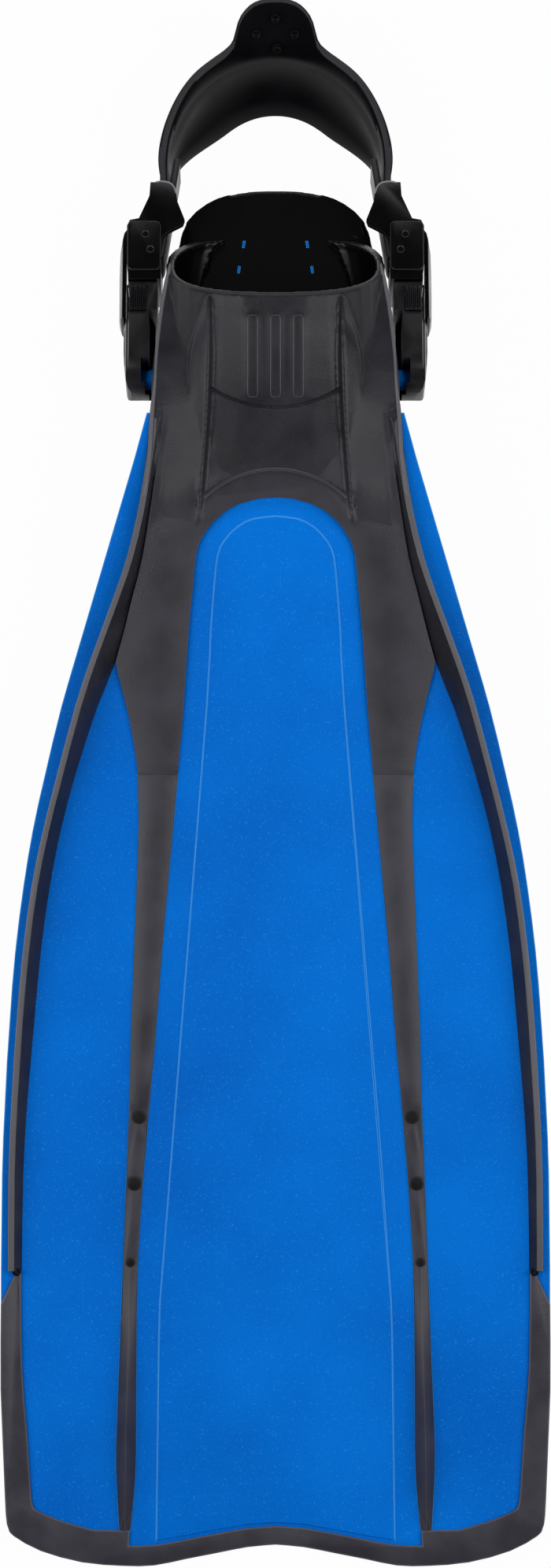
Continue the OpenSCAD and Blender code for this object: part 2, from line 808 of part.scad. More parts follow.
module base() {
    difference() {
        intersection() {
            union() {
                flat(body_line, buckle_h);
                block(-2.2, eps, nose_u, 25, -half_h, -post_d / 2 - 0.6);
                block(-3.2, eps, 25, 37, -half_h, half_h);
            }
            nose();
            barrel(10.6);
        }
        block(0.9, 9, 12, 38, -cavity_v, cavity_v);
        block(1.1, 9, button_u0 - slide_gap, button_u1 + slide_gap, -20, 20);
        block(-1, 1.6, -post_d / 2 - 3.6, post_d / 2 + 0.6, -post_d / 2 - 0.6, 20);
        bar_x(-1, 9, post_d / 2 + run_gap);
        bar_x(6.5, 9, post_d / 2 + 1.7);
    }
}

module left_base() {
    color(black)
        on_strap()
            left_side()
                at_buckle()
                    base();
}

module right_base() {
    color(black)
        on_strap()
            at_buckle()
                base();
}

module base_cover() {
    difference() {
        intersection() {
            flat(cover_line, 2 * cover_v);
            nose();
            barrel(10.6);
        }
        for (v = [-7.5, -4.5, -1.5, 1.5, 4.5, 7.5])
            block(10.6 - grip_depth - v * v / 2 / barrel_r, 12, 3, 18, v - 0.6, v + 0.6);
    }
}

module left_base_cover() {
    color(black)
        on_strap()
            left_side()
                at_buckle()
                    base_cover();
}

module right_base_cover() {
    color(black)
        on_strap()
            at_buckle()
                base_cover();
}

// Clip: cheeks over and under the strap, cross block and tongue
cheek_v = strap_w / 2 + 1;
lever_x = 6.3;
lever_u = 60.5;
cheek_line = [[-4.7, 40], [8.6, 40], [9.2, 46], [9.2, 61], [8, 63.5], [4.4, 64.2]];
cheek_top = [[0.2, 74], [-0.2, 80], [-8.7, 80], [-10.2, 78.6], [-11.2, 71.5], [-14.2, 63.5],
    [-13.5, 61.5], [-7, 58], [-4.7, 55]];
cheek_low = [[-1.8, 78.6], [-3.5, 80], [-8.7, 80], [-10, 78.6], [-10.4, 74], [-7.2, 68.5],
    [-4.7, 64]];
notch_u = 29.6;
tongue_x = 2.6;
tongue_t = 3.4;

module clip() {
    clip_v = cheek_v + cheek_t;
    difference() {
        union() {
            translate([0, 0, cheek_v])
                linear_extrude(cheek_t)
                    polygon(concat(cheek_line, cheek_top));
            translate([0, 0, -clip_v])
                linear_extrude(cheek_t)
                    polygon(concat(cheek_line, cheek_low));
            block(-4.7, 8.6, 37.7, 42.5, -clip_v, clip_v);
            block(tongue_x, tongue_x + tongue_t, 14, 38, -tongue_v, tongue_v);
        }
        block(tongue_x - 1, tongue_x + tongue_t + 1, button_u0 - slide_gap, notch_u, -cheek_v,
            slide_gap - bar_in);
        block(tongue_x - 1, tongue_x + tongue_t + 1, notch_u, button_u1 + slide_gap,
            bar_in - slide_gap, cheek_v);
        pin_bore(0, roller_u, 0);
        pin_bore(lever_x, lever_u, 0);
    }
}

module pin_bore(x, u, gap) {
    translate([x, u, 0])
        cylinder(h = 4 * cheek_v, r = pin_d / 2 + gap, center = true);
}

module left_clip() {
    color(black)
        on_strap()
            left_side()
                at_buckle()
                    clip();
}

module right_clip() {
    color(black)
        on_strap()
            at_buckle()
                clip();
}

module pin(x, u) {
    translate([x, u, 0])
        cylinder(h = 2 * (cheek_v + cheek_t), r = pin_d / 2, center = true);
}

module left_lever_pin() {
    color(steel)
        on_strap()
            left_side()
                at_buckle()
                    pin(lever_x, lever_u);
}

module right_lever_pin() {
    color(steel)
        on_strap()
            at_buckle()
                pin(lever_x, lever_u);
}

module left_roller_pin() {
    color(steel)
        on_strap()
            left_side()
                at_buckle()
                    pin(0, roller_u);
}

module right_roller_pin() {
    color(steel)
        on_strap()
            at_buckle()
                pin(0, roller_u);
}

module roller() {
    difference() {
        translate([0, roller_u, 0])
            cylinder(h = strap_w + 1, r = roller_d / 2, center = true);
        pin_bore(0, roller_u, run_gap);
    }
}

module left_roller() {
    color(steel)
        on_strap()
            left_side()
                at_buckle()
                    roller();
}

module right_roller() {
    color(steel)
        on_strap()
            at_buckle()
                roller();
}

// Lever lying along the outside of the clip and the buckle body
lever_line = [[lever_x, lever_u], [7.6, 58.3], [9.7, 54.5], [9.7, 24], [10.4, 22.8], [11.6, 22.8],
    [12.3, 24.2], [12.5, 40], [12, 52], [10.3, 59.5], [8.2, 62.3]];

module lever() {
    difference() {
        intersection() {
            linear_extrude(lever_w, center = true)
                union() {
                    polygon(lever_line);
                    translate([lever_x, lever_u])
                        circle(r = 2.6);
                }
            translate([0, 30, 0])
                barrel(12.5);
        }
        pin_bore(lever_x, lever_u, run_gap);
    }
}

module left_lever() {
    color(black)
        on_strap()
            left_side()
                at_buckle()
                    lever();
}

module right_lever() {
    color(black)
        on_strap()
            at_buckle()
                lever();
}

// Latch button: pad in the body's window, two legs beside the tongue, bar in the far notch
module button() {
    mid = notch_u - slide_gap;
    block(1.4, 8, button_u0, button_u1, pad_in, half_h + button_proud);
    for (i = [0 : 3])
        block(1.6 + i * 1.7, 2.5 + i * 1.7, button_u0 + 0.6, button_u1 - 0.6,
            half_h + button_proud - eps, half_h + button_proud + 0.5);
    for (x = [1.4, 6 + slide_gap])
        block(x, x + 0.9, button_u0, mid, -bar_out, pad_in + eps);
    block(1.4, 7.2, button_u0, mid, -bar_out, -bar_in);
}

module low_button() {
    translate([0, 2 * notch_u, 0])
        rotate([180, 0, 0])
            button();
}

module left_top_button() {
    color(black)
        on_strap()
            left_side()
                at_buckle()
                    button();
}

module right_top_button() {
    color(black)
        on_strap()
            at_buckle()
                button();
}

module left_bottom_button() {
    color(black)
        on_strap()
            left_side()
                at_buckle()
                    low_button();
}

module right_bottom_button() {
    color(black)
        on_strap()
            at_buckle()
                low_button();
}

// Coil spring between one button's pad and the other button's bar
coil_r = 1.3;
coil_turns = 4;

module coil(v0, v1) {
    a = wire_d / 2;
    skin([for (i = [0 : 10 * coil_turns]) let (
        t = i / (10 * coil_turns),
        w = 36 * i)
        [for (k = [0 : 4]) let (
            r = coil_r + a * cos(72 * k),
            z = v0 + a + (v1 - v0 - 2 * a) * t + a * sin(72 * k))
            [r * cos(w), r * sin(w), z]]]);
}

module latch_springs() {
    translate([4.3, (notch_u + button_u1) / 2 + 0.1, 0])
        coil(bar_out + 0.1, pad_in - 0.1);
    translate([4.3, (notch_u + button_u0) / 2 - 0.1, 0])
        coil(-pad_in + 0.1, -bar_out - 0.1);
}

module left_latch_springs() {
    color(steel)
        on_strap()
            left_side()
                at_buckle()
                    latch_springs();
}

module right_latch_springs() {
    color(steel)
        on_strap()
            at_buckle()
                latch_springs();
}

blade();
foot_pocket();
sole_plate();
outsole();
left_rail();
right_rail();
left_stringer();
right_stringer();
tip_trim();
stringer_plugs();
left_post();
right_post();
left_post_clip();
right_post_clip();
heel_strap();
left_base();
right_base();
left_base_cover();
right_base_cover();
left_clip();
right_clip();
left_lever_pin();
right_lever_pin();
left_roller_pin();
right_roller_pin();
left_latch_springs();
right_latch_springs();
left_lever();
right_lever();
left_top_button();
right_top_button();
left_bottom_button();
right_bottom_button();
left_roller();
right_roller();
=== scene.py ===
"""Looks of an open-heel swim fin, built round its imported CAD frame.

Places are given in two frames in millimetres: the blade's (x across, y towards the heel, z off its
top face) and the strap's (x across, u along the strap from its pivot, v across its width).
"""

from __future__ import annotations

import json
import logging
import math
from dataclasses import dataclass, field, replace
from enum import Enum
from functools import cached_property
from typing import Iterable, Sequence

import bmesh
import bpy
from mathutils import Matrix, Vector
from mathutils.bvhtree import BVHTree

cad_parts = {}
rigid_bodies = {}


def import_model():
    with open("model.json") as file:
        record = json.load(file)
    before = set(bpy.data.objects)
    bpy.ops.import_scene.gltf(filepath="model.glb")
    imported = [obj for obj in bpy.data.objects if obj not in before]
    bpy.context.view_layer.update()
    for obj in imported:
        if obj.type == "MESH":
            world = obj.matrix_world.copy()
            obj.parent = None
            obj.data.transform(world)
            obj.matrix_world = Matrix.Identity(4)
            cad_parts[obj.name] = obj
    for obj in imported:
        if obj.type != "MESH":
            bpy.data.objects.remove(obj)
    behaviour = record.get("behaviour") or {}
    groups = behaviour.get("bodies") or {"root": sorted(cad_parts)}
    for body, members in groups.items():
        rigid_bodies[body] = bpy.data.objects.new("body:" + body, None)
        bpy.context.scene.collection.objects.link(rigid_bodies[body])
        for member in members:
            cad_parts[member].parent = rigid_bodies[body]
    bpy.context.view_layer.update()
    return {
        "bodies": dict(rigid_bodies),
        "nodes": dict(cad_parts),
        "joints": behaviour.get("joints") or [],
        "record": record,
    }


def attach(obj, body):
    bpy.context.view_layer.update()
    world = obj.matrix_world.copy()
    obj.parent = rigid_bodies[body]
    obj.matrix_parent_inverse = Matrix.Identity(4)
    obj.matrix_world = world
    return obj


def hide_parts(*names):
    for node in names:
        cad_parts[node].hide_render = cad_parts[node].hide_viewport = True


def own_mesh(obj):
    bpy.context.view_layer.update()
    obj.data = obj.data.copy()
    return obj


log = logging.getLogger("swim_fin")
MM = 0.001
MERGE_M = 2e-6
FLAT_DEG = 0.6
Colour = tuple[float, float, float]
Pair = tuple[float, float]
SKIN_LAYERS = ("Grain", "Mottle", "Speck")


class Side(Enum):
    """The two sides of the fin, as the sign of x."""

    LEFT = -1
    RIGHT = 1

    def node(self, name: str) -> str:
        """Name of this side's node."""
        return f"{self.name.lower()}_{name}"


@dataclass(frozen=True)
class Place:
    """A frame in millimetres on the part's frame in metres, turned about X."""

    origin: Vector
    turn: float

    @cached_property
    def matrix(self) -> Matrix:
        """From this frame to the part's."""
        return (
            Matrix.Translation(self.origin)
            @ Matrix.Rotation(self.turn, 4, "X")
            @ Matrix.Scale(MM, 4)
        )

    @cached_property
    def inverse(self) -> Matrix:
        """From the part's frame to this one."""
        return self.matrix.inverted()


@dataclass(frozen=True)
class Setting:
    """How the fin lies on the ground, round the pivot that the frame gives."""

    pivot: Vector
    blade_tilt: float = math.radians(7.13346)
    strap_droop: float = math.radians(9.29613)
    pivot_drop: float = 20.0

    @cached_property
    def blade(self) -> Place:
        """The blade's frame."""
        up = Matrix.Rotation(self.blade_tilt, 3, "X") @ Vector((0, 0, self.pivot_drop * MM))
        return Place(self.pivot + up, self.blade_tilt)

    @cached_property
    def strap(self) -> Place:
        """The strap's frame."""
        return Place(self.pivot, -self.strap_droop)


def smoothstep(low: float, high: float, value: float) -> float:
    """Share from 0 to 1, eased, of a value between two limits.

    Args:
        low: where the share is 0.
        high: where the share is 1.
        value: the value.

    Returns:
        The eased share.
    """
    t = min(1.0, max(0.0, (value - low) / (high - low)))
    return t * t * (3 - 2 * t)


def chain_distance(x: float, y: float, chain: Sequence[Pair]) -> float:
    """Distance of a point from a chain of straight runs.

    Args:
        x: the point's x.
        y: the point's y.
        chain: the corners of the chain.

    Returns:
        The shortest distance.
    """
    best = math.inf
    for (ax, ay), (bx, by) in zip(chain, chain[1:]):
        dx, dy = bx - ax, by - ay
        t = ((x - ax) * dx + (y - ay) * dy) / (dx * dx + dy * dy)
        t = min(1.0, max(0.0, t))
        best = min(best, math.hypot(x - ax - t * dx, y - ay - t * dy))
    return best


def arc_chain(half: float, ends: float, middle: float, steps: int = 12) -> list[Pair]:
    """A round arc as a chain, level at its middle.

    Args:
        half: half of its width.
        ends: y at its ends.
        middle: y at its middle.
        steps: number of runs.

    Returns:
        The chain's corners.
    """
    rise = middle - ends
    radius = (half * half + rise * rise) / (2 * rise)
    reach = math.asin(half / abs(radius))
    turns = [reach * (2 * i / steps - 1) for i in range(steps + 1)]
    return [
        (abs(radius) * math.sin(a), middle - radius + radius * math.cos(a)) for a in turns
    ]


# Materials


class NodeBench:
    """Short way to lay out a node tree."""

    def __init__(self, tree: bpy.types.NodeTree) -> None:
        """Keep the tree and empty it."""
        self.tree = tree
        tree.nodes.clear()

    def add(
        self, kind: str, inputs: dict[str | int, object] | None = None, **settings: object
    ) -> bpy.types.Node:
        """Add a node.

        Args:
            kind: the node's type.
            inputs: values, or output sockets to link, by input name or number.
            settings: the node's own properties.

        Returns:
            The node.
        """
        node = self.tree.nodes.new(kind)
        for key, value in settings.items():
            setattr(node, key, value)
        for key, value in (inputs or {}).items():
            if isinstance(value, bpy.types.NodeSocket):
                self.tree.links.new(value, node.inputs[key])
            else:
                node.inputs[key].default_value = value
        return node

    def mix(
        self,
        factor: float | bpy.types.NodeSocket,
        first: Colour | bpy.types.NodeSocket,
        second: Colour | bpy.types.NodeSocket,
    ) -> bpy.types.NodeSocket:
        """Mix two colours.

        Args:
            factor: share of the second colour, a number or a socket.
            first: a colour or a socket.
            second: a colour or a socket.

        Returns:
            The mixed colour's socket.
        """
        colours = [
            c if isinstance(c, bpy.types.NodeSocket) else (*c, 1) for c in (first, second)
        ]
        inputs = {0: factor, 6: colours[0], 7: colours[1]}
        return self.add("ShaderNodeMix", inputs, data_type="RGBA").outputs[2]

    def ranged(self, value: bpy.types.NodeSocket, span: Pair, out: Pair) -> bpy.types.NodeSocket:
        """Map one range of values to another.

        Args:
            value: the socket to map.
            span: its range.
            out: the new range.

        Returns:
            The mapped value's socket.
        """
        inputs = {0: value, 1: span[0], 2: span[1], 3: out[0], 4: out[1]}
        return self.add("ShaderNodeMapRange", inputs).outputs[0]


def moulded_skin() -> bpy.types.NodeTree:
    """Node group for the skin of a moulded piece: fine grain, broad mottle and sparse specks.

    Returns:
        The group, made once.
    """
    name = "moulded_skin"
    if name in bpy.data.node_groups:
        return bpy.data.node_groups[name]
    group = bpy.data.node_groups.new(name, "ShaderNodeTree")
    for key in SKIN_LAYERS:
        group.interface.new_socket(f"{key} Scale", in_out="INPUT", socket_type="NodeSocketFloat")
    for key in SKIN_LAYERS:
        group.interface.new_socket(key, in_out="OUTPUT", socket_type="NodeSocketFloat")
    bench = NodeBench(group)
    given = bench.add("NodeGroupInput")
    place = bench.add("ShaderNodeTexCoord").outputs["Object"]
    noise = {
        key: bench.add(
            "ShaderNodeTexNoise",
            {"Vector": place, "Scale": given.outputs[f"{key} Scale"], "Detail": detail},
        ).outputs[0]
        for key, detail in zip(SKIN_LAYERS, (3.0, 5.0, 1.0))
    }
    noise["Mottle"] = bench.ranged(noise["Mottle"], (0.33, 0.67), (0, 1))
    noise["Speck"] = bench.ranged(noise["Speck"], (0.62, 0.74), (0, 1))
    bench.add("NodeGroupOutput", noise)
    return group


def skinned(
    name: str, sizes_mm: Sequence[float]
) -> tuple[bpy.types.Material, NodeBench, bpy.types.Node]:
    """New material with the moulded skin laid in its tree.

    Args:
        name: the material's name.
        sizes_mm: sizes of the skin's grain, mottle and specks.

    Returns:
        The material, its bench and the skin's node.
    """
    material = bpy.data.materials.new(name)
    material.use_nodes = True
    bench = NodeBench(material.node_tree)
    skin = bench.add("ShaderNodeGroup", node_tree=moulded_skin())
    for key, size in zip(SKIN_LAYERS, sizes_mm):
        skin.inputs[f"{key} Scale"].default_value = 1 / (size * MM)
    return material, bench, skin


@dataclass(frozen=True)
class Moulding:
    """Finish of a moulded rubber or plastic piece."""

    name: str
    slot: str
    deep: Colour
    pale: Colour
    speck: Colour
    # Colour of the painted highlight on faces marked in the edge attribute.
    edge: Colour
    roughness: Pair
    grain_mm: float = 0.5
    mottle_mm: float = 25.0
    speck_mm: float = 0.9
    speck_share: float = 0.3
    edge_highlight_share: float = 0.5
    bump: float = 0.2
    bump_mm: float = 0.4
    specular: float = 0.5
    # Colour and roughness of the painted shade inside the shoe.
    hollow: Colour = (0.0012, 0.0012, 0.0014)
    hollow_roughness: float = 0.28

    def material(self) -> bpy.types.Material:
        """The finish as a material, made once.

        Returns:
            The material.
        """
        if self.name in bpy.data.materials:
            return bpy.data.materials[self.name]
        sizes = (self.grain_mm, self.mottle_mm, self.speck_mm)
        material, bench, skin = skinned(self.name, sizes)
        mottle = skin.outputs["Mottle"]
        colour = bench.mix(mottle, self.deep, self.pale)
        specks = bench.ranged(skin.outputs["Speck"], (0, 1), (0, self.speck_share))
        colour = bench.mix(specks, colour, self.speck)
        # Painted highlight: faces marked in the edge attribute, mostly rounds of sharp edges, are
        # tinted toward the edge colour.
        rim = bench.add("ShaderNodeAttribute", attribute_name="edge")
        edge_highlight = bench.ranged(rim.outputs["Fac"], (0, 1), (0, self.edge_highlight_share))
        colour = bench.mix(edge_highlight, colour, self.edge)
        # Painted shade: skin marked as the shoe's inside is darkened toward the shade colour.
        inside = bench.add("ShaderNodeAttribute", attribute_name="hollow").outputs["Fac"]
        colour = bench.mix(inside, colour, self.hollow)
        worn_gloss = bench.ranged(mottle, (0, 1), self.roughness)
        gloss = bench.add("ShaderNodeMix", {0: inside, 2: worn_gloss, 3: self.hollow_roughness})
        depth = self.bump_mm * MM
        bump = bench.add(
            "ShaderNodeBump",
            {"Strength": self.bump, "Distance": depth, "Height": skin.outputs["Grain"]},
        )
        shader = bench.add(
            "ShaderNodeBsdfPrincipled",
            {
                "Base Color": colour,
                "Roughness": gloss.outputs[0],
                "Normal": bump.outputs[0],
                "Specular IOR Level": self.specular,
            },
        )
        bench.add("ShaderNodeOutputMaterial", {"Surface": shader.outputs[0]})
        return material


@dataclass(frozen=True)
class DrawnSteel:
    """Finish of a drawn steel pin, ring or wire."""

    name: str = "drawn_steel"
    slot: str = "steel"
    colour: Colour = (0.55, 0.55, 0.57)
    roughness: Pair = (0.22, 0.42)
    streak_mm: float = 0.6
    dark_share: float = 0.8

    def material(self) -> bpy.types.Material:
        """The finish as a material, made once.

        Returns:
            The material.
        """
        if self.name in bpy.data.materials:
            return bpy.data.materials[self.name]
        sizes = [k * self.streak_mm for k in (1, 8, 2)]
        material, bench, skin = skinned(self.name, sizes)
        dark = tuple(self.dark_share * c for c in self.colour)
        shader = bench.add(
            "ShaderNodeBsdfPrincipled",
            {
                "Base Color": bench.mix(skin.outputs["Mottle"], dark, self.colour),
                "Roughness": bench.ranged(skin.outputs["Grain"], (0.3, 0.7), self.roughness),
                "Metallic": 1.0,
            },
        )
        bench.add("ShaderNodeOutputMaterial", {"Surface": shader.outputs[0]})
        return material


# Each finish's edge colour is a painted highlight for the faces marked in the edge attribute.
BLADE_BLUE = Moulding(
    name="blade_blue",
    slot="blue_polymer",
    deep=(0.0, 0.142, 0.640),
    pale=(0.0, 0.192, 0.790),
    speck=(0.02, 0.29, 0.88),
    edge=(0.07, 0.38, 0.93),
    roughness=(0.52, 0.62),
    grain_mm=0.45,
    mottle_mm=70.0,
    speck_mm=0.8,
    speck_share=0.6,
    edge_highlight_share=0.8,
    bump=0.25,
    specular=0.05,
)
# Painted light: a brighter copy of the blade's blue for the post, which sits in shade in the
# buckle's window.
BRIGHTENED_POST_BLUE = replace(BLADE_BLUE, name="post_blue", deep=(0.0, 0.20, 0.80), pale=(0.0, 0.26, 0.92))
GREY_RUBBER = Moulding(
    name="pocket_rubber",
    slot="grey_rubber",
    deep=(0.0155, 0.0147, 0.0190),
    pale=(0.0265, 0.0250, 0.0325),
    speck=(0.045, 0.042, 0.053),
    edge=(0.13, 0.125, 0.145),
    roughness=(0.34, 0.45),
    grain_mm=0.7,
    mottle_mm=16.0,
    speck_mm=1.6,
    speck_share=0.25,
    edge_highlight_share=0.6,
    bump=0.18,
    specular=0.27,
)
# Brighter edge colour for the rails' painted crest highlight.
RAIL_RUBBER = replace(
    GREY_RUBBER,
    name="rail_rubber",
    edge=(0.24, 0.235, 0.26),
    edge_highlight_share=0.85,
    speck_share=0.35,
    specular=0.4,
)
STRIP_RUBBER = replace(
    GREY_RUBBER,
    name="strip_rubber",
    deep=(0.032, 0.030, 0.040),
    pale=(0.052, 0.049, 0.065),
    edge=(0.11, 0.105, 0.125),
    specular=0.4,
)
APRON_RUBBER = replace(
    GREY_RUBBER,
    name="apron_rubber",
    deep=(0.024, 0.0225, 0.030),
    pale=(0.040, 0.0375, 0.050),
    specular=0.4,
)
PLUG_RUBBER = Moulding(
    name="plug_skin",
    slot="plug_rubber",
    deep=(0.003, 0.003, 0.004),
    pale=(0.006, 0.006, 0.007),
    speck=(0.012, 0.012, 0.014),
    edge=(0.04, 0.038, 0.046),
    roughness=(0.40, 0.55),
    specular=0.2,
)
STRAP_RUBBER = Moulding(
    name="strap_skin",
    slot="strap_rubber",
    deep=(0.0034, 0.0032, 0.0041),
    pale=(0.0060, 0.0057, 0.0070),
    speck=(0.010, 0.010, 0.012),
    edge=(0.10, 0.098, 0.11),
    roughness=(0.28, 0.38),
    grain_mm=0.9,
    mottle_mm=18.0,
    speck_share=0.12,
    edge_highlight_share=0.7,
    bump=0.08,
    specular=0.045,
)
BUCKLE_BLACK = Moulding(
    name="buckle_black",
    slot="buckle_plastic",
    deep=(0.0016, 0.0015, 0.0019),
    pale=(0.0030, 0.0028, 0.0034),
    speck=(0.010, 0.010, 0.012),
    edge=(0.045, 0.044, 0.05),
    roughness=(0.15, 0.23),
    grain_mm=0.35,
    mottle_mm=10.0,
    speck_share=0.10,
    edge_highlight_share=0.6,
    bump=0.10,
    specular=0.2,
)
# Painted highlight: a light grey tint for the lip round the clip's cheek.
HIGHLIGHT_BLACK = replace(
    BUCKLE_BLACK, name="worn_black", edge=(0.30, 0.30, 0.33), edge_highlight_share=0.9, roughness=(0.3, 0.4)
)
SATIN_BLACK = replace(
    BUCKLE_BLACK,
    name="satin_black",
    deep=(0.010, 0.0098, 0.011),
    pale=(0.020, 0.0196, 0.022),
    edge=(0.07, 0.069, 0.075),
    roughness=(0.28, 0.38),
)
# Painted sheen: the lever's rounded edges are tinted light grey.
LEVER_BLACK = replace(
    BUCKLE_BLACK, name="lever_black", edge=(0.20, 0.20, 0.22), edge_highlight_share=0.85, speck_share=0.3
)
DARK_STEEL = DrawnSteel(name="blackened_steel", colour=(0.10, 0.10, 0.11), roughness=(0.3, 0.45))
STEEL = DrawnSteel()
Finish = Moulding | DrawnSteel


# Pieces


def loft(sections: Sequence[Sequence[Vector]]) -> bmesh.types.BMesh:
    """Extrude a ring of edges from section to section and close its ends.

    Args:
        sections: corners of each section, in the same order.

    Returns:
        The mesh.
    """
    bm = bmesh.new()
    count = len(sections[0])
    ring = [bm.verts.new(corner) for corner in sections[0]]
    edges = [bm.edges.new((ring[k], ring[(k + 1) % count])) for k in range(count)]
    made_faces: list[bmesh.types.BMFace] = []
    ends = [edges]
    for section in sections[1:]:
        order = {tuple(vert.co): k for k, vert in enumerate(ring)}
        made = bmesh.ops.extrude_edge_only(bm, edges=edges)["geom"]
        fresh = {order[tuple(g.co)]: g for g in made if isinstance(g, bmesh.types.BMVert)}
        made_faces += [g for g in made if isinstance(g, bmesh.types.BMFace)]
        for k, corner in enumerate(section):
            fresh[k].co = corner
        ring = [fresh[k] for k in range(count)]
        edges = [bm.edges.get((ring[k], ring[(k + 1) % count])) for k in range(count)]
    ends.append(edges)
    for end in ends:
        made_faces += bmesh.ops.contextual_create(bm, geom=end)["faces"]
    bmesh.ops.recalc_face_normals(bm, faces=made_faces)
    return bm


def ring(count: int) -> list[Pair]:
    """Cosine and sine at even steps round a circle."""
    return [(math.cos(a), math.sin(a)) for a in (2 * math.pi * k / count for k in range(count))]


def carry(bm: bmesh.types.BMesh, matrix: Matrix) -> None:
    """Carry a whole mesh to another frame."""
    bmesh.ops.transform(bm, matrix=matrix, verts=bm.verts)


def dished_boss(
    bm: bmesh.types.BMesh,
    matrix: Matrix,
    radii: Pair,
    height: float,
    dish: Pair,
    sides: int = 24,
) -> set[bmesh.types.BMFace]:
    """Round boss with a dish in its top.

    Args:
        bm: the mesh that it is made in.
        matrix: its place, with its axis along z.
        radii: its radius at the foot and at the top.
        height: its height.
        dish: width of the rim round the dish, and the dish's depth.
        sides: number of its sides.

    Returns:
        Its faces.
    """
    made = bmesh.ops.create_cone(
        bm,
        cap_ends=True,
        segments=sides,
        radius1=radii[0],
        radius2=radii[1],
        depth=height,
        matrix=matrix,
    )
    out = matrix.to_3x3() @ Vector((0, 0, 1))
    bm.normal_update()
    faces = {f for v in made["verts"] for f in v.link_faces}
    top = max(faces, key=lambda f: f.normal.dot(out) * len(f.verts))
    rim = bmesh.ops.inset_individual(bm, faces=[top], thickness=dish[0])["faces"]
    bmesh.ops.translate(bm, vec=out * -dish[1], verts=top.verts)
    return faces.union(rim)


def subdivide(piece: bpy.types.Object) -> None:
    """Round a piece by subdivision."""
    smooth = piece.modifiers.new("smooth", "SUBSURF")
    smooth.levels = smooth.render_levels = 2


def discard(piece: bpy.types.Object) -> None:
    """Take a helper object and its mesh away."""
    mesh = piece.data
    bpy.data.objects.remove(piece)
    bpy.data.meshes.remove(mesh)


def evaluated(piece: bpy.types.Object) -> bmesh.types.BMesh:
    """Mesh of a helper object with its modifiers; the object goes.

    Args:
        piece: the object, linked to the scene.

    Returns:
        The mesh.
    """
    grown = piece.evaluated_get(bpy.context.evaluated_depsgraph_get())
    bm = bmesh.new()
    bm.from_mesh(grown.to_mesh())
    grown.to_mesh_clear()
    discard(piece)
    return bm


def linked(bm: bmesh.types.BMesh, name: str) -> bpy.types.Object:
    """Put a mesh in the scene as an object.

    Args:
        bm: the mesh, used up.
        name: the object's name.

    Returns:
        The object.
    """
    mesh = bpy.data.meshes.new(name)
    bm.to_mesh(mesh)
    bm.free()
    piece = bpy.data.objects.new(name, mesh)
    bpy.context.scene.collection.objects.link(piece)
    return piece


def carved(bm: bmesh.types.BMesh, cutter: bmesh.types.BMesh) -> bmesh.types.BMesh:
    """A mesh less another.

    Args:
        bm: the mesh, used up.
        cutter: what is taken away, used up.

    Returns:
        What is left.
    """
    piece, tool = linked(bm, "carved_blank"), linked(cutter, "carving_tool")
    cut = piece.modifiers.new("cut", "BOOLEAN")
    cut.operation = "DIFFERENCE"
    cut.solver = "EXACT"
    cut.object = tool
    left = evaluated(piece)
    discard(tool)
    return left


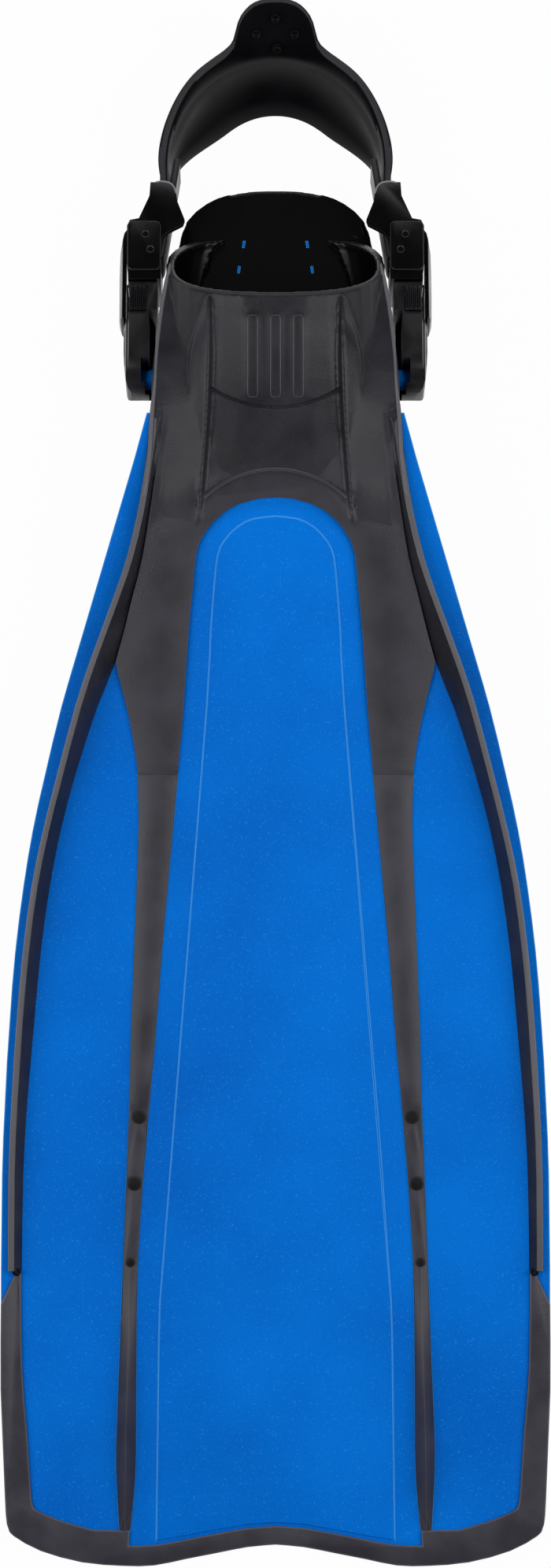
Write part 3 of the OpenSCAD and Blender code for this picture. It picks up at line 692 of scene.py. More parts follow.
class Workshop:
    """Makes pieces, gives them their finish and puts them on the frame's bodies."""

    def __init__(self, frame: dict) -> None:
        """Keep the frame's nodes, its bodies and the two working frames.
        """
        self.nodes: dict[str, bpy.types.Object] = frame["nodes"]
        groups = frame["record"]["behaviour"]["bodies"]
        self.body_of = {node: body for body, nodes in groups.items() for node in nodes}
        swing = next(j for j in frame["joints"] if j["name"] == "strap_swing")
        self.setting = Setting(Vector(swing["pos_m"]))

    def solid(self, node: str, flatten: bool = True) -> bmesh.types.BMesh:
        """Copy of a node's mesh with its doubles merged.

        Args:
            node: the node's name.
            flatten: whether flat faces are joined.

        Returns:
            The copy.
        """
        bm = bmesh.new()
        bm.from_mesh(self.nodes[node].data)
        bmesh.ops.remove_doubles(bm, verts=bm.verts, dist=MERGE_M)
        if flatten:
            bmesh.ops.dissolve_limit(
                bm, angle_limit=math.radians(FLAT_DEG), verts=bm.verts, edges=bm.edges
            )
        return bm

    def soften(
        self, bm: bmesh.types.BMesh, width: float, angle: float = 28.0, segments: int = 3
    ) -> None:
        """Round a mesh's sharp edges and mark the rounds for a painted highlight in the edge
        attribute.

        Args:
            bm: the mesh.
            width: width of the rounds in millimetres.
            angle: edges sharper than this many degrees are rounded.
            segments: faces across a round.
        """
        layer = bm.faces.layers.float.get("edge") or bm.faces.layers.float.new("edge")
        limit = math.radians(angle)
        sharp = [e for e in bm.edges if e.is_manifold and e.calc_face_angle(0) > limit]
        made = bmesh.ops.bevel(
            bm,
            geom=sharp,
            offset=width * MM,
            offset_type="OFFSET",
            segments=segments,
            profile=0.5,
            affect="EDGES",
            clamp_overlap=True,
            material=-1,
        )
        for face in made["faces"]:
            face[layer] = 1.0

    def finish(
        self,
        bm: bmesh.types.BMesh,
        name: str,
        finish: Finish,
        nodes: Sequence[str],
        body: str = "",
        sharp: float = 35.0,
    ) -> bpy.types.Object:
        """Turn a mesh into a piece on a body.

        Args:
            bm: the mesh, in the part's frame.
            name: the piece's name.
            finish: its finish.
            nodes: the nodes that it stands for.
            body: the body that it rides on, if it stands for no node.
            sharp: edges sharper than this many degrees stay sharp in shading.

        Returns:
            The piece.
        """
        piece = linked(bm, name)
        mesh = piece.data
        mesh.shade_smooth()
        mesh.set_sharp_from_angle(angle=math.radians(sharp))
        mesh.materials.append(finish.material())
        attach(piece, body or self.body_of[nodes[0]])
        if nodes:
            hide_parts(*nodes)
        log.info("%s: %d faces", name, len(mesh.polygons))
        return piece

    def dress(self, node: str, finish: Finish, width: float, angle: float = 28.0) -> None:
        """Stand a rounded copy of a node in its place.

        Args:
            node: the node's name.
            finish: its finish.
            width: width of its edge rounds in millimetres.
            angle: edges sharper than this many degrees are rounded.
        """
        bm = self.solid(node)
        self.soften(bm, width, angle)
        self.finish(bm, node + "_moulded", finish, [node])

    def paint(self, node: str, finish: Finish) -> None:
        """Give a node that stays in view its finish.

        Args:
            node: the node's name.
            finish: its finish.
        """
        mesh = self.nodes[node].data
        mesh.materials.clear()
        mesh.materials.append(finish.material())


@dataclass
class BladeSet:
    """The blade with its rails, strips, plugs and tip trim."""

    shop: Workshop
    plate_round: float = 0.5
    rail_round: float = 1.1
    strip_round: float = 0.35
    trim_round: float = 0.8
    plug_round: float = 0.5
    field_end: float = -456.0
    field_half: float = 47.0
    rail_start: float = -15.6
    rail_drop: float = 0.9
    rail_tuck: float = 3.0
    rail_upper: float = 1.7
    crest_z: float = 2.2
    crest_up: float = 0.3
    crest_out: float = 0.12
    crest_flat: float = 0.97
    crest_light: float = 0.5
    pit: tuple[float, float, float] = (103.6, -358.4, 2.6)
    pit_radii: Pair = (1.875, 1.5)
    pit_height: float = 3.4
    pit_dish: Pair = (0.5, 0.9)

    def build(self) -> None:
        """Make all of its pieces."""
        shop = self.shop
        self._plate()
        for side in Side:
            self._rail(side)
            shop.dress(side.node("stringer"), STRIP_RUBBER, self.strip_round, 20)
            self._pit(side)
        shop.dress("tip_trim", STRIP_RUBBER, self.trim_round)
        shop.dress("stringer_plugs", PLUG_RUBBER, self.plug_round)

    def _plate(self) -> None:
        """The blue plate, its raised field open toward the tip."""
        shop = self.shop
        bm = shop.solid("blade")
        shop.soften(bm, self.plate_round)
        layer = bm.faces.layers.float["edge"]
        inverse = shop.setting.blade.inverse
        # No painted edge highlight on the field's lower end, by the tip.
        for face in bm.faces:
            spot = inverse @ face.calc_center_median()
            if spot.y < self.field_end and abs(spot.x) < self.field_half:
                face[layer] = 0.0
        shop.finish(bm, "blade_plate", BLADE_BLUE, ["blade"])

    def _rail(self, side: Side) -> None:
        """A rail with a painted highlight on its crest, its upper end let down onto the flange.

        Args:
            side: the rail's side.
        """
        shop = self.shop
        bm = shop.solid(side.node("rail"))
        place = shop.setting.blade
        for vert in bm.verts:
            spot = place.inverse @ vert.co
            if spot.y > self.rail_start:
                spot.y += self.rail_tuck
                spot.z -= self.rail_drop if spot.z > self.rail_upper else 0
                vert.co = place.matrix @ spot
        shop.soften(bm, self.rail_round, 24)
        bm.normal_update()
        # Painted highlight: the crest's outward rounds get the full edge tint and its flat top part
        # of it.
        layer = bm.faces.layers.float["edge"]
        turn = place.inverse.to_3x3()
        for face in bm.faces:
            spot = place.inverse @ face.calc_center_median()
            out = (turn @ face.normal).normalized()
            high = spot.z > self.crest_z and spot.y < self.rail_start
            crest = high and out.z > self.crest_up
            if crest and out.x * side.value > self.crest_out:
                face[layer] = 1.0
            elif crest and out.z > self.crest_flat:
                face[layer] = self.crest_light
            else:
                face[layer] = 0.0
        shop.finish(bm, side.node("rail_moulded"), RAIL_RUBBER, [side.node("rail")])

    def _pit(self, side: Side) -> None:
        """Small dished boss that closes a rail's lower end.

        Args:
            side: the rail's side.
        """
        shop = self.shop
        bm = bmesh.new()
        x, y, z = self.pit
        spot = Matrix.Translation((side.value * x, y, z))
        dished_boss(bm, spot, self.pit_radii, self.pit_height, self.pit_dish, 20)
        carry(bm, shop.setting.blade.matrix)
        shop.finish(bm, side.node("rail_end_boss"), PLUG_RUBBER, [], body="fin")


@dataclass(frozen=True)
class Zone:
    """Region of the pocket's skin, the same on both sides of the blade's middle."""

    across: Pair
    along: Pair
    above: float
    facing: float = -1.1

    def holds(self, spot: Vector, normal: Vector) -> bool:
        """Whether a point of the skin lies in the region.

        Args:
            spot: the point in the blade's frame.
            normal: which way the skin faces there.

        Returns:
            True for a point inside.
        """
        return (
            self.across[0] <= abs(spot.x) < self.across[1]
            and self.along[0] < spot.y < self.along[1]
            and spot.z > self.above
            and normal.z > self.facing
        )


@dataclass
class FootPocket:
    """The rubber shoe: one soft skin with raised bars, a bead, a groove and ridged flanges."""

    shop: Workshop
    voxel: float = 0.75
    relax: int = 3
    relax_share: float = 0.5
    keep: float = 0.36
    sole_origin: Pair = (-121.0, -28.0)
    sole_slope: float = math.radians(11)
    bed_level: float = 4.25
    bed_rise: float = 0.75
    bed_run: Pair = (160.0, 204.0)
    bed_along: Pair = (150.0, 204.0)
    bed_half: float = 37.0
    bed_heights: Pair = (2.8, 7.5)
    apron_z: float = 3.0
    apron_under: float = 1.9
    apron_gap: float = 0.1
    apron_cuts: int = 12
    apron_facing: float = 0.999
    apron_slack: float = 0.02
    apron_lift: float = 0.12
    apron_depth: float = 1.2
    apron_round: float = 0.45
    apron_fade: Pair = (-112.0, -158.0)
    apron_fall: float = 0.85
    apron_match: float = 0.07
    tongue_top: float = -1.0
    tongue_half: float = 0.5
    tongue_y: Pair = (-52.0, -46.0)
    bar_xs: tuple[float, ...] = (-9.1, 0.0, 9.1)
    bar_half: Pair = (2.2, 16.2)
    bar_y: float = 6.8
    bar_rise: float = 0.45
    bar_root: float = 0.8
    bar_power: int = 3
    bar_blunt: float = 0.4
    bar_round: float = 0.3
    bar_zone: Zone = Zone((0.0, 14.0), (-12.0, 26.0), 4.0, 0.3)
    bar_rounds: int = 30
    rib_zone: Zone = Zone((24.0, 36.0), (-66.0, 30.0), 2.7, -0.1)
    rib_rounds: int = 5
    bead_rise: float = 0.75
    bead_root: float = 0.7
    bead_shoulder: float = 0.55
    bead_end: float = 0.55
    bead_round: float = 0.2
    bead_half: float = 1.1
    groove_depth: float = 0.9
    groove_half: float = 0.75
    groove_flat: float = 0.15
    groove_zone: Zone = Zone((0.0, 28.0), (-16.0, -3.0), 0.5, 0.3)
    finer_zone: Zone = Zone((0.0, 30.0), (-20.0, 2.0), 0.5)
    finer_edge: float = 0.6
    finer_reach: float = 1.2
    ridge_half: Pair = (1.05, 0.95)
    ridge_crown: float = 0.4
    ridge_light: float = 0.6
    web_depth: float = 2.4
    web_dip: float = 0.15
    blend_step: float = 1.5
    blend_reach: int = 8
    blend_skin: float = 0.5
    underside: float = -0.35
    ease_inner: float = 2.5
    ease_outer: float = 2.0
    ease_ends: float = 8.0
    flank_x: Pair = (30.0, 48.0)
    flank_y: Pair = (-66.0, 3.0)
    vamp_x: Pair = (-1.0, 26.0)
    vamp_y: Pair = (-62.0, -9.0)
    hollow_start: float = 90.0
    hollow_half: float = 41.0
    hollow_heights: Pair = (2.5, 12.0)
    rear_start: float = 46.0
    rear_half: float = 38.5
    wall_start: float = 33.0
    over_sole: float = 2.0
    mouth_start: float = -45.0
    mouth_slope: float = 0.13
    rim_end: float = 47.0
    rim_height: float = 14.0
    rim_light: float = 0.7
    pale_y: Pair = (20.0, 58.0)
    apron_pale: float = 0.14
    drains: tuple[Pair, ...] = ((13.1, 182.6), (15.1, 171.7))
    nib_half: Pair = (0.6, 1.6)
    nib_rise: float = 0.12
    nib_root: float = 0.8
    nib_turn: float = math.radians(8)
    plate_round: float = 0.2
    outsole_round: float = 0.5
    gusset: tuple[tuple[float, float, float, float, float], ...] = (
        (-7.0, 43.6, 1.8, 49.6, 0.2), (-12.0, 43.6, 2.8, 49.8, 1.4), (-16.0, 43.6, 2.7, 49.9, 2.1),
        (-22.0, 43.8, 2.7, 50.0, 3.2), (-28.0, 44.8, 2.7, 50.1, 4.1), (-34.0, 46.4, 2.7, 50.4, 4.9),
        (-40.0, 48.0, 2.6, 51.2, 5.4),
    )
    bead: list[Pair] = field(default_factory=lambda: arc_chain(28.5, -49.3, -37.8, 24))
    groove: list[Pair] = field(default_factory=lambda: arc_chain(25.5, -6.0, -13.4))
    ridge: tuple[tuple[float, float, float, float], ...] = (
        (42.3, 48.0, -17.5, 0.45), (43.2, 42.0, -12.4, 1.0), (45.4, 30.0, -6.9, 1.0),
        (47.3, 15.0, -3.2, 0.85), (47.7, 8.0, -1.9, 0.7), (47.95, 2.0, -0.7, 0.6),
        (48.3, -4.0, 0.2, 0.65), (48.9, -10.0, 1.0, 0.85), (49.5, -16.0, 2.1, 1.0),
        (49.8, -24.0, 3.5, 1.0), (50.3, -33.3, 4.7, 1.0), (51.7, -43.3, 6.0, 1.0),
        (53.4, -53.3, 7.0, 0.45),
    )

    def build(self) -> None:
        """Make the skin, what stands on it and the sole under it."""
        shop = self.shop
        bm = self._soft_skin()
        self._calm_skin(bm)
        self._blend(bm, self.flank_x, self.flank_y)
        self._blend(bm, self.vamp_x, self.vamp_y)
        self._fade_apron(bm)
        self._level_footbed(bm)
        self._sink_groove(bm)
        tree = BVHTree.FromBMesh(bm)
        self._paint_hollow_shade(bm, tree)
        self._light_rim(bm)
        shop.finish(bm, "foot_pocket_skin", GREY_RUBBER, ["foot_pocket"], sharp=60)
        for number, x in enumerate(self.bar_xs, 1):
            self._bar(tree, f"grip_bar_{number}", x)
        self._bead(tree)
        for side in Side:
            self._ridge(side)
            self._gusset(side)
        self._apron()
        self._sole_plate()
        shop.dress("outsole", GREY_RUBBER, self.outsole_round)

    def _soft_skin(self) -> bmesh.types.BMesh:
        """The pocket's solid run into one skin with soft fillets.

        Returns:
            The skin.
        """
        blank = linked(self.shop.solid("foot_pocket", flatten=False), "pocket_blank")
        remesh = blank.modifiers.new("skin", "REMESH")
        remesh.mode = "VOXEL"
        remesh.voxel_size = self.voxel * MM
        relax = blank.modifiers.new("relax", "SMOOTH")
        relax.factor = self.relax_share
        relax.iterations = self.relax
        thin = blank.modifiers.new("thin", "DECIMATE")
        thin.ratio = self.keep
        return evaluated(blank)

    def _on_sole(self, spot: Vector) -> Pair:
        """Place along the sole and height over it, from a place in the blade's frame."""
        dy, dz = spot.y - self.sole_origin[0], spot.z - self.sole_origin[1]
        c, s = math.cos(self.sole_slope), math.sin(self.sole_slope)
        return c * dy - s * dz, s * dy + c * dz

    def _from_sole(self, x: float, along: float, height: float) -> Vector:
        """Place in the blade's frame of a place on the sole."""
        c, s = math.cos(self.sole_slope), math.sin(self.sole_slope)
        return Vector(
            (
                x,
                self.sole_origin[0] + c * along + s * height,
                self.sole_origin[1] - s * along + c * height,
            )
        )

    def _floor(self, along: float) -> float:
        """Height of the footbed over the sole."""
        return self.bed_level + self.bed_rise * (1 - smoothstep(*self.bed_run, along))

    def _blend(self, bm: bmesh.types.BMesh, across: Pair, along: Pair) -> None:
        """Even out the skin along the fin, on both sides of its middle.

        Args:
            bm: the skin.
            across: the region's nearest and farthest place from the middle.
            along: its ends.
        """
        tree = BVHTree.FromBMesh(bm)
        place = self.shop.setting.blade
        x0, x1 = across
        y0, y1 = along
        step, reach, ends = self.blend_step, self.blend_reach, self.ease_ends
        rows = int((y1 - y0) / step)
        span = range(-reach, reach + 1)
        weights = [0.5 + 0.5 * math.cos(math.pi * k / (reach + 1)) for k in span]
        lanes = []
        for i in range(int(x1 - x0) + 1):
            raw = [self._drape(tree, x0 + i, y0 + step * j).z for j in range(rows + 1)]
            even = []
            for j in range(rows + 1):
                near = [raw[min(rows, max(0, j + k))] for k in span]
                even.append(sum(w * h for w, h in zip(weights, near)) / sum(weights))
            lanes.append((raw, even))
        for vert in bm.verts:
            p = place.inverse @ vert.co
            x = abs(p.x)
            if not (x0 < x < x1 and y0 < p.y < y1) or vert.normal.z < self.underside:
                continue
            i, j = int(x - x0), int((p.y - y0) / step)
            lowest = min(lanes[i][0][max(0, j - 1) : j + 3])
            if p.z < lowest - self.blend_skin:
                continue
            s, t = x - x0 - i, (p.y - y0) / step - j
            a, b = lanes[i][1], lanes[min(i + 1, len(lanes) - 1)][1]
            after = min(rows, j + 1)
            level = (1 - s) * ((1 - t) * a[j] + t * a[after]) + s * ((1 - t) * b[j] + t * b[after])
            share = smoothstep(x0, x0 + self.ease_inner, x) if x0 > 0 else 1.0
            share *= 1 - smoothstep(x1 - self.ease_outer, x1, x)
            share *= smoothstep(y0, y0 + ends, p.y) * (1 - smoothstep(y1 - ends, y1, p.y))
            p.z += (level - p.z) * share
            vert.co = place.matrix @ p
        bm.normal_update()

    def _calm_skin(self, bm: bmesh.types.BMesh) -> None:
        """Take the blurred grip bars off the skin and calm the leaf ribs.

        Args:
            bm: the skin.
        """
        inverse = self.shop.setting.blade.inverse
        for zone, rounds in ((self.bar_zone, self.bar_rounds), (self.rib_zone, self.rib_rounds)):
            near = [v for v in bm.verts if zone.holds(inverse @ v.co, v.normal)]
            for _ in range(rounds):
                bmesh.ops.smooth_vert(
                    bm, verts=near, factor=0.5, use_axis_x=True, use_axis_y=True, use_axis_z=True
                )
        bm.normal_update()

    def _fall(self, y: float) -> float:
        """How far the apron has sunk toward the strips."""
        return self.apron_fall * smoothstep(-self.apron_fade[0], -self.apron_fade[1], -y)

    def _fade_apron(self, bm: bmesh.types.BMesh) -> None:
        """Let the skin's apron sink toward the strips.

        Args:
            bm: the skin.
        """
        place = self.shop.setting.blade
        for vert in bm.verts:
            p = place.inverse @ vert.co
            if p.y < self.apron_fade[0] and p.z > self.apron_under:
                p.z -= self._fall(p.y) + self.apron_gap
                vert.co = place.matrix @ p

    def _level_footbed(self, bm: bmesh.types.BMesh) -> None:
        """Run the footbed without a step from the shoe out to the heel.

        Args:
            bm: the skin.
        """
        place = self.shop.setting.blade
        start, end = self.bed_along
        low, high = self.bed_heights
        for vert in bm.verts:
            p = place.inverse @ vert.co
            along, height = self._on_sole(p)
            inside = start < along < end and abs(p.x) < self.bed_half
            if inside and low < height < high and vert.normal.z > -0.2:
                vert.co = place.matrix @ self._from_sole(p.x, along, self._floor(along))
        bm.normal_update()

    def _sink_groove(self, bm: bmesh.types.BMesh) -> None:
        """Sink the groove across the vamp, on a finer mesh.

        Args:
            bm: the skin.
        """
        inverse = self.shop.setting.blade.inverse

        def depth(vert: bmesh.types.BMVert) -> float:
            """Depth of the groove at a point of the upper face."""
            p = inverse @ vert.co
            if not self.groove_zone.holds(p, vert.normal):
                return 0.0
            away = chain_distance(p.x, p.y, self.groove)
            return self.groove_depth * (1 - smoothstep(self.groove_flat, self.groove_half, away))

        for _ in range(5):
            edges = []
            for edge in bm.edges:
                length = edge.calc_length() / MM
                start, end = edge.verts
                p = inverse @ ((start.co + end.co) / 2)
                if length > self.finer_edge and self.finer_zone.holds(p, start.normal):
                    if chain_distance(p.x, p.y, self.groove) < self.finer_reach + length / 2:
                        edges.append(edge)
            bmesh.ops.subdivide_edges(bm, edges=edges, cuts=1, use_grid_fill=False)
            wide = [f for f in bm.faces if len(f.verts) > 4]
            bmesh.ops.triangulate(bm, faces=wide)
        bm.normal_update()
        for vert, fall in [(v, depth(v)) for v in bm.verts]:
            if fall:
                vert.co -= vert.normal * fall * MM
        bm.normal_update()

    def _paint_hollow_shade(self, bm: bmesh.types.BMesh, tree: BVHTree) -> None:
        """Mark the inside of the shoe and its footbed for a painted shade: a darker colour and the
        finish's hollow roughness.

        Args:
            bm: the skin.
            tree: the skin's search tree.
        """
        layer = bm.verts.layers.float.new("hollow")
        inverse = self.shop.setting.blade.inverse
        low, high = self.hollow_heights
        for vert in bm.verts:
            p = inverse @ vert.co
            half, out = abs(p.x), vert.normal
            along, height = self._on_sole(p)
            inward = -math.copysign(1.0, p.x) * out.x
            bed = along > self.hollow_start and half < self.hollow_half
            rear = p.y > self.rear_start and half < self.rear_half
            wall = p.y > self.wall_start and inward > 0.1
            raised = height > self.over_sole
            hollow = (bed and low < height < high and out.z > 0.2) or (raised and (rear or wall))
            mouth = self.apron_z + self.mouth_slope * (p.y - self.mouth_start)
            # Skin low in the mouth that faces the shoe itself lies in shade and gets the painted
            # shade too.
            if not hollow and raised and p.z < mouth:
                hollow = tree.ray_cast(vert.co + out * MM, out, 100 * MM)[0] is not None
            vert[layer] = float(hollow)
        for _ in range(2):
            soft = {
                v: (v[layer] + sum(e.other_vert(v)[layer] for e in v.link_edges))
                / (1 + len(v.link_edges))
                for v in bm.verts
                if v.link_edges
            }
            for vert, share in soft.items():
                vert[layer] = share

    def _light_rim(self, bm: bmesh.types.BMesh) -> None:
        """Paint a highlight along the rim of the shoe's mouth, where the painted shade ends, and
        paint the vamp's up-facing skin lighter toward the apron.

        Args:
            bm: the skin, with its inside marked.
        """
        inverse = self.shop.setting.blade.inverse
        rim = bm.verts.layers.float.new("edge")
        hollow = bm.verts.layers.float["hollow"]
        for vert in bm.verts:
            p = inverse @ vert.co
            # Painted highlight: a light band along the rim, at the edge of the painted shade.
            if p.y < self.rim_end and self._on_sole(p)[1] > self.rim_height:
                vert[rim] = self.rim_light * 4 * vert[hollow] * (1 - vert[hollow])
            if p.y < 0 and p.z > self.over_sole and vert.normal.z > 0:
                vert[rim] += self.apron_pale * smoothstep(*self.pale_y, -p.y)

    def _drape(self, tree: BVHTree, x: float, y: float) -> Vector:
        """Place on the skin straight under a place over the blade.

        Args:
            tree: the skin's search tree.
            x: place across.
            y: place along.

        Returns:
            The place in the blade's frame.
        """
        place = self.shop.setting.blade
        start = place.matrix @ Vector((x, y, 60))
        down = (place.matrix.to_3x3() @ Vector((0, 0, -1))).normalized()
        hit = tree.ray_cast(start, down)[0]
        return place.inverse @ hit if hit else Vector((x, y, self.apron_z))

    def _bar(self, tree: BVHTree, name: str, x: float) -> None:
        """One raised grip bar with rounded ends, laid on the vamp.

        Args:
            tree: the skin's search tree.
            name: the bar's name.
            x: its middle.
        """
        half_w, half_l = self.bar_half
        bm = bmesh.new()
        bmesh.ops.create_grid(bm, x_segments=4, y_segments=40, size=1)
        for vert in bm.verts:
            y = vert.co.y * half_l
            over = max(0.0, abs(y) - half_l + half_w) / half_w
            narrow = max(self.bar_blunt, 1 - over**self.bar_power) ** (1 / self.bar_power)
            spot = self._drape(tree, x + vert.co.x * half_w * narrow, self.bar_y + y)
            spot.z += self.bar_rise
            vert.co = spot
        bmesh.ops.remove_doubles(bm, verts=bm.verts, dist=0.02)
        for _ in range(4):
            bmesh.ops.smooth_vert(bm, verts=bm.verts, factor=0.5, use_axis_z=True)
        self._plate_down(bm, self.bar_rise + self.bar_root)
        carry(bm, self.shop.setting.blade.matrix)
        self.shop.soften(bm, self.bar_round, 50, 2)
        self.shop.finish(bm, name, GREY_RUBBER, [], body="fin")

    @staticmethod
    def _plate_down(bm: bmesh.types.BMesh, depth: float) -> None:
        """Give an open sheet its thickness, straight down.

        Args:
            bm: the sheet.
            depth: the thickness.
        """
        lowered = bmesh.ops.extrude_face_region(bm, geom=bm.faces[:], use_keep_orig=True)
        low = [g for g in lowered["geom"] if isinstance(g, bmesh.types.BMVert)]
        bmesh.ops.translate(bm, vec=(0, 0, -depth), verts=low)
        bmesh.ops.recalc_face_normals(bm, faces=bm.faces)

    def _bead(self, tree: BVHTree) -> None:
        """Bead over the tongue's round top.

        Args:
            tree: the skin's search tree.
        """
        half, rise, root = self.bead_half, self.bead_rise, -self.bead_root
        shoulder = rise * self.bead_shoulder
        sections = []
        for i, (x, y) in enumerate(self.bead):
            before, after = self.bead[max(0, i - 1)], self.bead[min(len(self.bead) - 1, i + 1)]
            along = Vector((after[0] - before[0], after[1] - before[1])).normalized()
            foot = self._drape(tree, x, y).z
            end = self.bead_end if i in (0, len(self.bead) - 1) else 1.0
            sections.append(
                [
                    Vector((x - along.y * k * half * end, y + along.x * k * half * end, foot + h))
                    for k, h in (
                        (-1.1, root), (-0.75, shoulder), (-0.3, rise * end),
                        (0.3, rise * end), (0.75, shoulder), (1.1, root),
                    )
                ]
            )
        bm = loft(sections)
        carry(bm, self.shop.setting.blade.matrix)
        self.shop.soften(bm, self.bead_round, 20, 2)
        self.shop.finish(bm, "tongue_bead", GREY_RUBBER, [], body="fin")

    def _ridge(self, side: Side) -> None:
        """Rounded ridge along a flange's edge that runs into the rail's crest.

        Args:
            side: the flange's side.
        """
        half_w, half_h = self.ridge_half
        sections = []
        for x, y, z, share in self.ridge:
            w, h = half_w * share, half_h * share
            sections.append(
                [Vector((side.value * (x + w * c), y, z + h * s)) for c, s in ring(12)]
            )
        bm = loft(sections)
        bm.normal_update()
        # Painted highlight: the ridge's upward faces are tinted light.
        layer = bm.faces.layers.float.new("edge")
        for face in bm.faces:
            face[layer] = self.ridge_light if face.normal.z > self.ridge_crown else 0.0
        carry(bm, self.shop.setting.blade.matrix)
        name = side.node("flange_ridge")
        subdivide(self.shop.finish(bm, name, RAIL_RUBBER, [], body="fin", sharp=70))

    def _gusset(self, side: Side) -> None:
        """Web that closes the corner between a flange's end and the rail's start.

        Args:
            side: the flange's side.
        """
        sections = []
        for y, x_in, z_in, x_out, z_out in self.gusset:
            inner, outer = side.value * x_in, side.value * x_out
            middle = (inner + outer) / 2
            sections.append(
                [
                    Vector((inner, y, z_in - self.web_depth)),
                    Vector((inner, y, z_in)),
                    Vector((middle, y, (z_in + z_out) / 2 - self.web_dip)),
                    Vector((outer, y, z_out)),
                    Vector((outer, y, z_out - self.web_depth)),
                ]
            )
        bm = loft(sections)
        carry(bm, self.shop.setting.blade.matrix)
        self.shop.finish(bm, side.node("flange_web"), GREY_RUBBER, [], body="fin", sharp=60)

    def _apron(self) -> None:
        """The apron on the blade's root as a plate with a crisp outline."""
        shop, place = self.shop, self.shop.setting.blade
        bm = shop.solid("foot_pocket", flatten=False)
        carry(bm, place.inverse)
        bm.normal_update()
        others = [
            f
            for f in bm.faces
            if f.normal.z < self.apron_facing
            or any(abs(v.co.z - self.apron_z) > self.apron_slack for v in f.verts)
        ]
        bmesh.ops.delete(bm, geom=others, context="FACES")
        bmesh.ops.dissolve_limit(bm, angle_limit=0.01, verts=bm.verts, edges=bm.edges)
        start, end = self.apron_fade
        for k in range(1, self.apron_cuts):
            cut = start + (end - start) * k / self.apron_cuts
            bmesh.ops.bisect_plane(
                bm,
                geom=bm.verts[:] + bm.edges[:] + bm.faces[:],
                plane_co=(0, cut, 0),
                plane_no=(0, 1, 0),
            )
        for vert in bm.verts:
            vert.co.z += self.apron_lift - self._fall(vert.co.y)
            crown = self.tongue_y[0] < vert.co.y < self.tongue_y[1]
            if crown and abs(vert.co.x) < self.tongue_half:
                vert.co.y += self.tongue_top
        self._plate_down(bm, self.apron_depth)
        carry(bm, place.matrix)
        shop.soften(bm, self.apron_round, 40)
        layer = bm.faces.layers.float["edge"]
        for face in bm.faces:
            y = (place.inverse @ face.calc_center_median()).y
            face[layer] = max(face[layer], self.apron_match * smoothstep(-start, -end, -y))
        shop.finish(bm, "apron_plate", APRON_RUBBER, [], body="fin")

    def _sole_plate(self) -> None:
        """The blue plate in the sole, with nibs that show in the drain slots."""
        shop = self.shop
        bm = shop.solid("sole_plate")
        half_w, half_l = self.nib_half
        turn = Matrix.Rotation(-self.sole_slope, 4, "X")
        for x, along in self.drains:
            for side in Side:
                top = self._floor(along) + self.nib_rise
                spot = self._from_sole(side.value * x, along, (top - self.nib_root) / 2)
                lean = Matrix.Rotation(side.value * self.nib_turn, 4, "Z")
                bmesh.ops.create_cube(
                    bm,
                    size=2,
                    matrix=shop.setting.blade.matrix
                    @ Matrix.Translation(spot)
                    @ turn
                    @ lean
                    @ Matrix.Diagonal((half_w, half_l, (top + self.nib_root) / 2, 1)),
                )
        shop.soften(bm, self.plate_round)
        shop.finish(bm, "sole_plate_moulded", BLADE_BLUE, ["sole_plate"])


@dataclass(frozen=True)
class Station:
    """One place along the strap: its middle, and its section there in millimetres."""

    x: float
    u: float
    half_t: float
    half_w: float
    lean: float = 0.0
    tab: float = 0.5
    pad: float = 0.0


